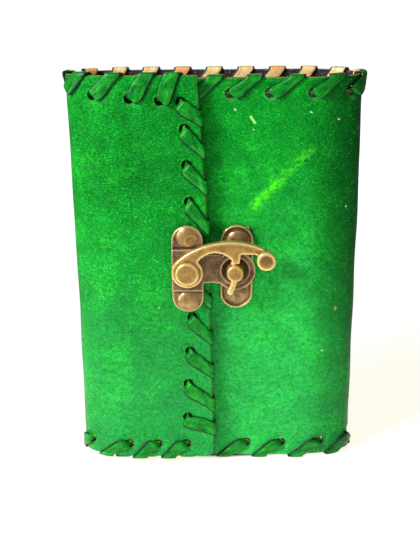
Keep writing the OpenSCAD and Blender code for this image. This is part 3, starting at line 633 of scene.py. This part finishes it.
def sheet_relief(s, z):
    """How far the leather's face stands out or in at each point, z counted from its lower edge."""
    out = waves(s, z, 7, [90, 63, 47, 38, 29, 23, 19], 0.16)
    top = SHEET_H - z
    for distance, along, run in ((top, s, RUN_TOP), (z, SHEET_L - s, RUN_BOTTOM)):
        fade = np.exp(-(distance / TOP_PUCKER_REACH) ** 2)
        out += fade * (PUCKER * (1 - near_lace(along, distance, run)) - PUCKER_SINK)
    in_from_edge = SHEET_L - (FLAP_CORNER_X - edge_x(FLAP_Z + z)) - s
    on_flap = s > FLAP_START
    fade = np.exp(-(np.maximum(in_from_edge, 0) / FLAP_PUCKER_REACH) ** 2) * on_flap
    out += fade * (PUCKER * (1 - near_lace(top, in_from_edge, RUN_FLAP)) - PUCKER_SINK)
    return out


def flap_end(z):
    """Length along the sheet of the flap's free edge at height z over the lower edge."""
    end = FLAP_START + edge_x(FLAP_Z + z) - FORE_X
    low = np.clip(FLAP_CORNER_R - z, 0, FLAP_CORNER_R)
    return end - (FLAP_CORNER_R - np.sqrt(FLAP_CORNER_R ** 2 - low ** 2))


def holes_on_sheet():
    """Centres of all punched holes: length along the sheet and height over its lower edge."""
    found = [(s, SHEET_H - v) for s, v in RUN_TOP] + [(s, PUNCH_INSET) for s in HOLES_BOTTOM]
    for u, v in RUN_FLAP:
        z = SHEET_H - u
        found.append((FLAP_START + edge_x(FLAP_Z + z) - v - FORE_X, z))
    found += [(v, u) for u, v in RUN_FORE]
    return found


def spaced(total, count, rim):
    """Places across the sheet: at the rounded rims, and evenly between them."""
    between = np.linspace(2 * rim[-1] + 0.2, total - 2 * rim[-1] - 0.2, count)
    return np.concatenate([rim, between, total - rim[::-1]])


def sheet_grid(step, round_off):
    """A grid over the sheet: length and height of its points, and how far its rounded rim sinks."""
    rim = np.array([0, 0.3, 0.75]) * round_off
    drop = np.array([1, 0.3, 0]) * round_off
    count_s, count_z = int(SHEET_L / step), int(SHEET_H / step)
    sink_s, sink_z = (np.concatenate([drop, np.zeros(count), drop[::-1]])
                      for count in (count_s, count_z))
    s, z = np.meshgrid(spaced(SHEET_L, count_s, rim), spaced(SHEET_H, count_z, rim), indexing="ij")
    share = (s - FLAP_START) / (SHEET_L - FLAP_START)
    s = np.where(s > FLAP_START, FLAP_START + share * (flap_end(z) - FLAP_START), s)
    return s, z, np.maximum(sink_s[:, None], sink_z[None, :])


def punch(s, z, quads):
    """Cuts the round holes: moves the points of their rims, and tells which quads go, how far each
    point is from a hole, and where a hole's lower rim gets a painted highlight."""
    gone = np.zeros(len(quads), bool)
    for hole_s, hole_z in holes_on_sheet():
        gone |= np.hypot(s[quads].mean(1) - hole_s, z[quads].mean(1) - hole_z) < PUNCH_R
    index = np.arange(len(s))
    rim = np.isin(index, quads[gone]) & np.isin(index, quads[~gone])
    nearest = np.full(len(s), 1e9)
    lip_highlight = np.zeros(len(s))
    for hole_s, hole_z in holes_on_sheet():
        ds, dz = s - hole_s, z - hole_z
        d = np.hypot(ds, dz)
        here = rim & (d < 2.2 * PUNCH_R)
        s = np.where(here, hole_s + ds / np.maximum(d, 1e-6) * PUNCH_R, s)
        z = np.where(here, hole_z + dz / np.maximum(d, 1e-6) * PUNCH_R, z)
        nearest = np.minimum(nearest, d)
        below = np.clip((hole_z - z) / PUNCH_R, 0, 1) * np.clip((s - hole_s) / PUNCH_R + 0.8, 0, 1)
        lip_highlight = np.maximum(lip_highlight, below * np.exp(-((d - PUNCH_R - 0.2) / 0.5) ** 2))
    return s, z, gone, nearest, lip_highlight


def open_edges(quads):
    """The edges round a patch of quads, each in its quad's direction."""
    edges = dict.fromkeys((a, b) for quad in quads for a, b in zip(quad, np.roll(quad, -1)))
    return [(a, b) for a, b in edges if (b, a) not in edges]


INNER_LAYER = [0, 0, 3]  # moves the pattern, so that it differs inside


def sheet_shell(name, n_out, n_in, step, round_off, relief, **piece):
    """A closed wall along the sheet's path with punched holes and hand-cut edges."""
    s, z, sink = sheet_grid(step, round_off)
    total = s.size
    index = np.arange(total).reshape(s.shape)
    quads = np.stack([index[:-1, :-1], index[1:, :-1], index[1:, 1:], index[:-1, 1:]], -1)
    quads = quads.reshape(-1, 4)
    s, z, gone, nearest, lip_highlight = punch(s.ravel(), z.ravel(), quads)
    sink = sink.ravel()
    raised, dip = np.zeros(total), np.zeros(total)
    if relief:
        raised = sheet_relief(s, z)
        dip = -0.5 * np.exp(-((np.maximum(nearest, PUNCH_R) - PUNCH_R) / 0.9) ** 2)
    outer = sheet_point(s, n_out - sink + (raised + dip), SHEET_Z + z)
    inner = sheet_point(s, n_in + sink + raised * 0.3, SHEET_Z + z)
    points = np.concatenate([outer, inner])

    faces = [quads[~gone], quads[~gone][:, ::-1] + total]
    for line in (index[:, 0], index[-1, :], index[::-1, -1], index[0, ::-1]):
        a, b = line[:-1], line[1:]
        faces.append(np.stack([a, a + total, b + total, b], -1))
    faces.append(np.array([(b, a, a + total, b + total) for a, b in open_edges(quads[gone])]))
    faces = np.concatenate(faces)

    cut = np.concatenate([(sink > 0.35 * round_off), np.ones(total)]).astype(float)
    # Points of the inner face round the holes, painted dark as shade in the holes
    hole_shade = np.concatenate([np.zeros(total, bool), nearest < PUNCH_R + 0.7 * step])
    cut[hole_shade] = 0
    used = np.zeros(len(points), bool)
    used[faces] = True
    number = np.cumsum(used) - 1
    place = np.stack([s, z, np.zeros(total)], -1)
    place = np.concatenate([place, place + INNER_LAYER])
    lip_highlight = np.concatenate([lip_highlight, np.zeros(total)])
    make_piece(name, points[used], number[faces], **piece,
               attributes={"sheet": place[used], "cut": cut[used], "hole": hole_shade[used],
                           "lip_highlight": lip_highlight[used]})


# Lace, as rings (u, v, n, half width, half thickness, lie in degrees, skew)
BUNCH_W = 1.1
BUNCH_T = 0.58
LACE_HALF = LACE_W / 2
HALF_T = LACE_T / 2
CROWN = 0.22
LIE_N = 0.40
BACK_N = -SHEET_T - LACE_N
AT_SPINE = (62, 108)
SPINE_FADE = 12


def rings_out(hole, cross):
    """From a hole up and over the outer face to the edge."""
    u, v = hole
    return [(u + 0.3, v, -SHEET_T / 2, BUNCH_W, BUNCH_T, 270, 0.6),
            (u + 0.95, v + 0.1, LIE_N + 0.16, 1.3, HALF_T, 325, 1.0),
            (mid_way(u, cross, 0.24) + 0.6, v - 0.7, LIE_N + 0.12,
             0.84 * LACE_HALF, HALF_T, 360, 0.55),
            (mid_way(u, cross, 0.64) + 0.15, 0.42 * v, LIE_N,
             1.02 * LACE_HALF, HALF_T, 360, 0.12),
            (cross, 0, LIE_N + 0.06, LACE_HALF, HALF_T, 360, 0),
            (cross + 0.15, -LACE_N, 0, LACE_HALF, HALF_T, 450, 0)]


def rings_over(cross):
    """Over the edge and on to the inner face."""
    return [(cross + 0.5, -LACE_N, -SHEET_T, LACE_HALF, HALF_T, 450, 0),
            (cross + 0.65, 0, BACK_N, LACE_HALF, HALF_T, 540, 0)]


def rings_in(hole, cross):
    """Down the inner face to the next hole."""
    u, v = hole
    return [(mid_way(cross, u, 0.62), 0.5 * v, BACK_N, LACE_HALF, HALF_T, 540, 0),
            (mid_way(cross, u, 0.9), v - 1.1, BACK_N, 0.68 * LACE_HALF, HALF_T, 540, 0),
            (u, v - 0.15, -SHEET_T - 0.5, BUNCH_W + 0.1, 0.5, 585, 0)]


def rings_of(run):
    """Cross-sections of a whole lace; the lie goes on growing by a full turn a stitch."""
    u, v = run[0]
    rings = [(u - 3.2, v - 2.6, BACK_N, 0.6 * LACE_HALF, HALF_T, 180, 0),
             (u - 0.9, v - 1.3, BACK_N, 0.6 * LACE_HALF, HALF_T, 180, 0),
             (u, v - 0.15, -SHEET_T - 0.5, BUNCH_W + 0.1, 0.5, 225, 0)]
    for number, hole in enumerate(run):
        last = number + 1 == len(run)
        cross = hole[0] + TAIL_REACH if last else edge_cross(hole, run[number + 1])
        stitch = rings_out(hole, cross) + rings_over(cross)
        if last:
            stitch += [(cross + 0.4, 4.0, BACK_N, 0.8 * LACE_HALF, HALF_T, 540, 0)]
        else:
            stitch += rings_in(run[number + 1], cross)
        rings += [(*r[:5], r[5] + 360 * number, r[6]) for r in stitch]
    return np.array(rings, float)


def smooth_rings(rings, parts):
    """Catmull-Rom through the rings, with several sections between each two."""
    padded = np.concatenate([[2 * rings[0] - rings[1]], rings, [2 * rings[-1] - rings[-2]]])
    made = []
    for k in range(len(rings) - 1):
        p0, p1, p2, p3 = padded[k:k + 4]
        for t in np.arange(parts) / parts:
            made.append(0.5 * (2 * p1 + (p2 - p0) * t + (2 * p0 - 5 * p1 + 4 * p2 - p3) * t * t
                               + (3 * p1 - p0 - 3 * p2 + p3) * t ** 3))
    made.append(rings[-1])
    return np.array(made)


def lace_piece(name, run, place, node, on_sheet=None):
    """A flat lace with a crowned face and dark cut edges, the wider dark band on one side painted
    shade, whip-stitched along one edge.

    Where that edge runs round the book, on_sheet turns a length on it into one on the sheet."""
    rings = smooth_rings(rings_of(run), 4)
    half_loop = np.array([1, 0.92, 0.7, 0.35, 0, -0.35, -0.7, -0.92, -1])
    across = np.concatenate([half_loop, half_loop[::-1]])
    level = np.concatenate([np.ones(len(half_loop)), -np.ones(len(half_loop))])
    thin = level * np.interp(np.abs(across), [0, 0.7, 0.92, 1], [1, 1, 0.85, 0.45])
    u, v, n, half, thick, lie, skew = rings.T
    angle = np.radians(lie)
    lie = lie % 360
    s = on_sheet(u) if on_sheet else np.zeros_like(u)
    bend = bend_at(s) if on_sheet else np.zeros_like(u)
    bulge = np.where((lie < 90) | (lie > 300), 1.4 * bend, 0)
    on_face = np.where((lie < 60) | (lie > 330), 1, 0)[:, None]
    crown = on_face * (CROWN * (1 - across ** 2) - 0.3 * CROWN) * (level > 0)
    tilt = (half * skew)[:, None]
    sunk, raised = (thick * np.sin(angle))[:, None], (thick * np.cos(angle))[:, None]
    points = place(u[:, None] + across * half[:, None], v[:, None] + across * tilt - thin * sunk,
                   (n + bulge)[:, None] + thin * raised + crown)
    count, m = points.shape[:2]
    index = np.arange(count * m).reshape(count, m)
    after = np.roll(index, -1, axis=1)
    sides = np.stack([index[:-1], index[1:], after[1:], after[:-1]], -1).reshape(-1, 4)
    faces = [list(f) for f in sides] + [list(index[0]), list(index[-1][::-1])]

    def spread(values):
        return np.broadcast_to(values, (count, m)).ravel()

    steps = np.linalg.norm(np.diff(points.mean(1), axis=0), axis=1)
    run_length = np.concatenate([[0], np.cumsum(steps)])
    strip = np.stack([spread(run_length[:, None]), (across * half[:, None]).ravel(),
                      spread(level)], -1)
    inside = np.clip((-n - 0.3 * SHEET_T) / (0.6 * SHEET_T), 0, 1)
    # Dark cut edges, two rows wide on the +across side: partly the edge's own colour, partly
    # painted shade
    rim = np.where(across > 0.9, 1.0, np.where(across < -0.95, 0.9, 0.0))
    # Darker near the spine: partly burnished, partly painted shade
    spine_start, spine_end = AT_SPINE
    burnish_and_shade = (np.clip((s - spine_start) / SPINE_FADE, 0, 1)
               * np.clip((spine_end - s) / SPINE_FADE, 0, 1))
    make_piece(name, points.reshape(-1, 3), faces, LACE, "book", "lace_leather", (node,),
               {"strip": strip, "inside": spread(inside[:, None]), "rim": spread(rim),
                "burnish_and_shade": spread(burnish_and_shade[:, None])})


sheet_shell("leather_sheet", 0.0, -LEATHER_T, step=0.85, round_off=0.32, relief=True,
            material=LEATHER, body="book", slot="dyed_leather", replaced=("leather_cover",))
sheet_shell("lining_sheet", -LEATHER_T - GLUE, -SHEET_T, step=1.1, round_off=0.06, relief=False,
            material=LINING, body="book", slot="lining", replaced=("cover_lining",))
lace_piece("laced_top", RUN_TOP, at_top, "lace_top", on_sheet=lambda u: u)
lace_piece("laced_bottom", RUN_BOTTOM, at_bottom, "lace_bottom", on_sheet=lambda u: SHEET_L - u)
lace_piece("laced_flap", RUN_FLAP, at_flap, "lace_flap")
lace_piece("laced_fore_edge", RUN_FORE, at_fore, "lace_fore_edge")


# Metal pieces
VOXEL = 0.14  # millimetres
SOFTENINGS = 5
# Strength of the darkening: painted shade round the post, and a darker root on the post
DARKENING = 1.3
WORN_STAND = 0.08  # millimetres that a wholly bright edge stands out


def values_of(parts, key, width, kind=float):
    """One property of all vertices or edges of a mesh, a row for each."""
    got = np.empty(len(parts) * width, kind)
    parts.foreach_get(key, got)
    return got.reshape(-1, width)


def cast_piece(node, name, material, body="book", extra=None, shape=None, darkening=None,
               spread=6):
    """A copy of a CAD solid with its edges rounded as on a cast or stamped piece."""
    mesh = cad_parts[node].data.copy()
    if extra is not None:
        bm = bmesh.new()
        bm.from_mesh(mesh)
        low, high = (Vector(c) * MM for c in extra)
        size = Matrix.Diagonal((*(high - low), 1))
        bmesh.ops.create_cube(bm, size=1.0, matrix=Matrix.Translation((low + high) / 2) @ size)
        bm.to_mesh(mesh)
        bm.free()
    work = new_object("work", mesh)
    remesh = work.modifiers.new("even", "REMESH")
    remesh.mode = "VOXEL"
    remesh.voxel_size = VOXEL * MM
    soften = work.modifiers.new("soft", "SMOOTH")
    soften.factor, soften.iterations = 0.5, SOFTENINGS
    solid = work.evaluated_get(bpy.context.evaluated_depsgraph_get())
    mesh = bpy.data.meshes.new_from_object(solid)
    bpy.data.objects.remove(work)
    mesh.name = name
    mesh.materials.clear()
    mesh.materials.append(material)
    mesh.shade_smooth()
    if shape is not None:
        points = values_of(mesh.vertices, "co", 3)
        mesh.vertices.foreach_set("co", (shape(points / MM) * MM).ravel())
    mark_wear(mesh, darkening, spread)
    piece = new_object(name, mesh)
    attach(piece, body)
    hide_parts(node)


def mark_wear(mesh, darkening, spread):
    """Stores how far each vertex stands out from its neighbours, less the darkening given for some
    places.
    """
    points = values_of(mesh.vertices, "co", 3)
    normals = values_of(mesh.vertices, "normal", 3)
    a, b = values_of(mesh.edges, "vertices", 2, int).T
    degree = np.bincount(np.concatenate([a, b]), minlength=len(points))[:, None]

    def neighbours(values):
        total = np.zeros_like(values)
        np.add.at(total, a, values[b])
        np.add.at(total, b, values[a])
        return total / degree

    smooth = points
    for _ in range(spread):
        smooth = neighbours(smooth)
    stand = ((points - smooth) * normals).sum(1)[:, None]
    stand = neighbours(neighbours(stand))[:, 0] / MM
    worn = np.clip(stand / WORN_STAND, -0.25, 1)
    if darkening is not None:
        worn -= DARKENING * darkening(points / MM)
    store(mesh, "worn", worn)


# Places on the clasp, in millimetres
PIVOT_X, POST_X = -8.5, 6.1
KNOB_X, KNOB_Z = PIVOT_X + 24.0, CLASP_Z + 4.7
CATCH_X, CATCH_Z = POST_X + 0.5, CLASP_Z - 0.8
CATCH_RIVETS = 17.2
CAP_R = 3.2
HASP_FRONT, ARM_FRONT, POST_FRONT = ((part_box(node)[0] / MM).y
                                     for node in ("hasp_plate", "swing_arm", "catch_post"))

# The hasp's raised tongue from the pivot to the eye, as two corners of a block
TONGUE = ((PIVOT_X + 2, HASP_FRONT + 0.04, CLASP_Z),
          (POST_X - 4.4, HASP_FRONT + 0.96, CLASP_Z + 5.2))

# Middle of each rivet cap, and how its face slopes along x and z
DENTS = ((PIVOT_X, CLASP_Z + HASP_RIVETS / 2, 0.20, -0.20),
         (PIVOT_X, CLASP_Z - HASP_RIVETS / 2, -0.06, 0.10),
         (CATCH_X, CATCH_Z + CATCH_RIVETS / 2, -0.12, 0.06),
         (CATCH_X, CATCH_Z - CATCH_RIVETS / 2, 0.06, -0.12))


def dished_knob(points, reach=2.3, depth=0.22):
    """The knob's face as one shallow dish."""
    away = np.hypot(points[:, 0] - KNOB_X, points[:, 2] - KNOB_Z)
    dish = ARM_FRONT + depth * np.clip(1 - (away / reach) ** 2, 0, 1)
    front = (away < reach) & (points[:, 1] < ARM_FRONT + 0.6)
    points[:, 1] = np.where(front, dish, points[:, 1])
    return points


def shade_round_post(points, reach=5.6):
    """Painted shade under the hasp's eye, round the post."""
    away = np.hypot(points[:, 0] - POST_X, points[:, 2] - CLASP_Z)
    return np.clip((reach - away) / 1.2, 0, 1)


def under_head(points, head=3.4):
    """Darker on the post's root, behind its head."""
    return np.clip((points[:, 1] - POST_FRONT - head) / 1.5, 0, 1)


def dented_caps(points, depth=0.1):
    """Each cap flattened a little on one side by the setting tool."""
    for x, z, slope_x, slope_z in DENTS:
        dx, dz = points[:, 0] - x, points[:, 2] - z
        here = np.hypot(dx, dz) < CAP_R
        top = points[here, 1].min()
        flat = top + depth + slope_x * dx + slope_z * dz
        front = here & (points[:, 1] < top + 1.0)
        points[:, 1] = np.where(front, np.maximum(points[:, 1], flat), points[:, 1])
    return points


cast_piece("hasp_plate", "hasp", BRASS, extra=TONGUE)
# The catch is darkened round the post: painted shade under the hasp's eye
cast_piece("catch_plate", "catch", DOME_BRASS, darkening=shade_round_post)
cast_piece("catch_post", "post", WORN_BRASS, darkening=under_head)
cast_piece("swing_arm", "arm", WORN_BRASS, "swing_arm", shape=dished_knob, spread=16)
cast_piece("pivot_rivet", "pivot", WORN_BRASS, spread=14)
cast_piece("rivet_caps", "caps", DOME_BRASS, shape=dented_caps)

# Pages, in millimetres
SECTIONS = 5
FOLDS = 6  # nested sheets in a section
STATIONS = 5  # places where the sections are sewn
CLOTH_T = 0.3
SPINE_PLAY = 0.15
THREAD_T = 0.6
THREAD_DEPTH = 0.2
LOW, HIGH = (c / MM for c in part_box("page_block"))
SECTION_T = (HIGH.y - LOW.y) / SECTIONS
SEWN = [LOW.z + (HIGH.z - LOW.z) * (0.12 + 0.76 * i / (STATIONS - 1)) for i in range(STATIONS)]
LEAF_SHARE = 0.66  # paper's share of the room that each leaf has
DECKLE = 0.45  # depth of the hand-torn edges


def spine_inside(y):
    """How far the sections may reach into the round spine at a distance y from its middle."""
    inset = SHEET_T + SPINE_PLAY + CLOTH_T + SPINE_PLAY
    small, big = SPINE_TIP - inset, SPINE_BIG - inset
    if abs(y) < small * math.cos(SPINE_TURN):
        return BOOK_W / 2 - SPINE_TIP + math.sqrt(small * small - y * y)
    return SPINE_X + math.sqrt(big * big - (abs(y) + SPINE_BIG - BOOK_T / 2) ** 2)


def folded_sheet(middle_y, fold_x, radius, thick, rng):
    """One sheet folded round the sewing: points and faces of a closed thin shell."""
    z = np.concatenate([np.linspace(0, 1, 23) * (HIGH.z - LOW.z) + LOW.z]
                       + [np.array([-0.9, -0.5, 0, 0.5, 0.9]) + station for station in SEWN])
    z = np.unique(np.clip(z, LOW.z, HIGH.z))
    notch = np.zeros(len(z))
    for station in SEWN:
        notch = np.maximum(notch, np.abs(z - station) < 0.6)
    notch = notch * (THREAD_DEPTH + THREAD_T + SPINE_PLAY)
    angle = np.linspace(math.pi / 2, -math.pi / 2, 7)
    share = np.linspace(0, 1, 7)[:-1]
    sides = []
    level = np.ones(len(z))
    sewn_x = fold_x - notch
    for r in (radius + thick / 2, max(radius - thick / 2, 0.01)):
        fore = [LOW.x + DECKLE * rng.random() * 0.6 + ragged(z, rng) for _ in range(2)]
        rear = [[mid_way(fore[0], sewn_x, t), level * (middle_y + r)] for t in share]
        fold = [[sewn_x + r * math.cos(a), level * (middle_y + r * math.sin(a))] for a in angle]
        front = [[mid_way(sewn_x, fore[1], t), level * (middle_y - r)] for t in 1 - share[::-1]]
        sides.append(np.array(rear + fold + front).transpose(2, 0, 1))
    sides[1][:, [0, -1], 0] = sides[0][:, [0, -1], 0]
    loop = np.concatenate([sides[0], sides[1][:, ::-1]], axis=1)
    rows, m = loop.shape[:2]
    height = np.repeat(z[:, None], m, axis=1)
    half = m // 2
    wander = [ragged(np.arange(half) * 6.0, rng) for _ in range(2)]
    wander = [np.concatenate([w, w[::-1]]) for w in wander]
    share = ((z - LOW.z) / (HIGH.z - LOW.z))[:, None]
    height = height + (1 - share) ** 8 * wander[0] - share ** 8 * wander[1]
    points = np.stack([loop[:, :, 0], loop[:, :, 1] + MIDDLE_Y, height], -1)
    index = np.arange(rows * m).reshape(rows, m)
    after = np.roll(index, -1, axis=1)
    faces = np.stack([index[:-1], index[1:], after[1:], after[:-1]], -1).reshape(-1, 4)
    a, b = index[:, :half - 1], index[:, 1:half]
    c, d = index[:, ::-1][:, 1:half], index[:, ::-1][:, :half - 1]
    bottom = np.stack([a[0], b[0], c[0], d[0]], -1)
    top = np.stack([d[-1], c[-1], b[-1], a[-1]], -1)
    return points.reshape(-1, 3), np.concatenate([faces, bottom, top])


def ragged(along, rng):
    """A slightly uneven hand-torn edge, between 0 and the deckle's depth."""
    total = sum(np.sin(along * 2 * math.pi / length + rng.uniform(0, 6.28))
                for length in (43, 17, 7.3))
    return DECKLE * 0.5 * (1 + total / 3)


def make_pages():
    """The sections of nested folded sheets, as one piece."""
    rng = np.random.default_rng(21)
    all_points, all_faces, start = [], [], 0
    for number in range(SECTIONS):
        y = (number - (SECTIONS - 1) / 2) * SECTION_T
        r = SECTION_T / 2
        fold_x = min(spine_inside(abs(y) + r), spine_inside(y) - r)
        pitch = r / FOLDS
        for fold in range(FOLDS):
            points, faces = folded_sheet(y, fold_x, (fold + 0.5) * pitch, LEAF_SHARE * pitch, rng)
            all_points.append(points)
            all_faces.append(faces + start)
            start += len(points)
    make_piece("pages", np.concatenate(all_points), np.concatenate(all_faces), PAPER, "book",
               "paper", ("page_block",), smooth=False)


make_pages()

# CAD solids that keep their shape
for node, material in (("rivet_posts", BRASS), ("spine_cloth", CLOTH), ("binding_thread", THREAD)):
    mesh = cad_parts[node].data
    mesh.materials.clear()
    mesh.materials.append(material)


# Floor, light and camera
ROOM = (0.17, 0.165, 0.15)
WHITE = (1.0, 1.0, 1.0)
# The floor's glow for the camera is dimmer and warm near the book, with a bluish diffuse part, so
# that lit floor clips to white and the shadow gets a painted warm tint; under the book it is nearly
# black as painted shade
NEAR_BOOK, SHADE_UNDER_BOOK = (0.92, 0.90, 0.70), (0.01, 0.01, 0.01)
FLOOR_SEEN, FLOOR_BOUNCE, FLOOR_MIRRORED = (0.14, 0.16, 0.36), (0.84, 0.82, 0.74), (1.3, 1.27, 1.15)
FLOOR_REACH = 3.0  # metres
TO_WHITE, TO_ROOM = (0.12, 0.5), (0.04, 0.2)  # metres from the middle of the book
FOOT_RIM = (0.5, 0.68)  # share of the way to the rim of the lowest lace


def floor_material():
    """A pale floor that keeps the book's soft shadow and turns white further off.

    The camera sees mostly its own glow: dimmer and warm near the book, so that the lamps' shadow
    shows there with a painted warm tint, and nearly black under the book as painted shade, where
    its holes show the floor.
    The metal mirrors it bright near the book and like the dim room further off."""
    m = Nodes("floor")
    light_path = m.add("LightPath")
    seen = light_path.outputs["Is Camera Ray"]
    place = m.place()
    away = m.vector_math("LENGTH", place).outputs["Value"]
    m.surface(m.mix(seen, FLOOR_BOUNCE, FLOOR_SEEN), 0.9, specular=0.0)
    low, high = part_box("lace_bottom")
    offset = m.vector_math("SUBTRACT", place, tuple((low + high) / 2)).outputs[0]
    scaled = m.stretch(offset, (2 / (high.x - low.x), 2 / (high.y - low.y), 0.0))
    within = m.vector_math("LENGTH", scaled).outputs["Value"]
    pale = m.mix(m.ramp(away, *TO_WHITE), NEAR_BOOK, WHITE)
    colour = m.mix(m.ramp(within, *FOOT_RIM), SHADE_UNDER_BOOK, pale)
    glow = m.add("Emission", {"Color": colour, "Strength": seen})
    both = m.add("AddShader", {0: m.shader.outputs[0], 1: glow.outputs[0]})
    mirrored = m.add("Emission", {"Color": m.mix(m.ramp(away, *TO_ROOM), FLOOR_MIRRORED, ROOM)})
    mixed = m.add("MixShader", {0: light_path.outputs["Is Glossy Ray"], 1: both.outputs[0],
                                2: mirrored.outputs[0]})
    m.link(mixed.outputs[0], m.tree.nodes["Material Output"].inputs["Surface"])
    return m.material


def make_floor():
    mesh = bpy.data.meshes.new("floor")
    far = FLOOR_REACH
    corners = [(-far, -far, 0), (far, -far, 0), (far, far, 0), (-far, far, 0)]
    mesh.from_pydata(corners, [], [(0, 1, 2, 3)])
    mesh.materials.append(floor_material())
    new_object("floor", mesh)


def area_light(name, place_mm, target_mm, size_mm, power, colour=WHITE, mirrored=True):
    """A soft lamp turned to its target; shiny surfaces show it only if it is mirrored."""
    data = bpy.data.lights.new(name, "AREA")
    data.shape = "RECTANGLE"
    data.size, data.size_y = size_mm[0] * MM, size_mm[1] * MM
    data.energy = power
    data.color = colour
    lamp = new_object(name, data)
    lamp.location = Vector(place_mm) * MM
    towards = (Vector(target_mm) - Vector(place_mm)).normalized()
    lamp.rotation_euler = towards.to_track_quat("-Z", "Y").to_euler()
    lamp.visible_glossy = mirrored


def make_world():
    """White behind the book, and a dimmer room for what it lights and what the metal mirrors."""
    world = bpy.data.worlds.new("surroundings")
    world.use_nodes = True
    tree = world.node_tree
    background = tree.nodes["Background"]
    light_path = tree.nodes.new("ShaderNodeLightPath")
    tint = tree.nodes.new("ShaderNodeMix")
    tint.data_type = "RGBA"
    for socket, colour in zip(tint.inputs[6:8], (ROOM, WHITE)):
        socket.default_value = (*colour, 1)
    tree.links.new(light_path.outputs["Is Camera Ray"], tint.inputs[0])
    tree.links.new(tint.outputs[2], background.inputs["Color"])
    bpy.context.scene.world = world


CAMERA_PLACE = (5.16, -295.63, 175.87)  # millimetres
CAMERA_PITCH, CAMERA_YAW, CAMERA_ROLL = 0.3534, 0.0236, -0.0100
FOCAL_PIXELS = 998.6
IMAGE_HEIGHT = 534
SENSOR = 36.0


def make_camera():
    """The photograph's viewpoint, found from the book's own edges."""
    data = bpy.data.cameras.new("camera")
    data.sensor_width = SENSOR
    data.lens = FOCAL_PIXELS * SENSOR / IMAGE_HEIGHT
    data.clip_start, data.clip_end = 0.01, 20.0
    cy, sy = math.cos(CAMERA_YAW), math.sin(CAMERA_YAW)
    cp, sp = math.cos(CAMERA_PITCH), math.sin(CAMERA_PITCH)
    forward = Vector((-sy * cp, cy * cp, -sp))
    right = Vector((cy, sy, 0))
    up = right.cross(forward)
    cr, sr = math.cos(CAMERA_ROLL), math.sin(CAMERA_ROLL)
    x_axis = right * cr + up * sr
    y_axis = up * cr - right * sr
    turn = Matrix((x_axis, y_axis, -forward)).transposed().to_4x4()
    camera = new_object("camera", data)
    camera.matrix_world = Matrix.Translation(Vector(CAMERA_PLACE) * MM) @ turn
    bpy.context.scene.camera = camera


make_floor()
make_world()

# Lamps: place, target and size in millimetres, power in watts
area_light("key", (-500, -360, 500), (0, 0, 60), (230, 230), 8.2)
area_light("table_bounce", (0, -150, 6), (0, 0, 30), (300, 60), 0.25, (1.0, 0.99, 0.94),
           mirrored=False)
area_light("back_fill", (260, 560, 330), (0, 0, 60), (420, 300), 2.6, mirrored=False)
area_light("low_window", (-430, -230, 60), (0, 0, 60), (120, 200), 0.5)

make_camera()
bpy.context.scene.view_settings.view_transform = "Standard"
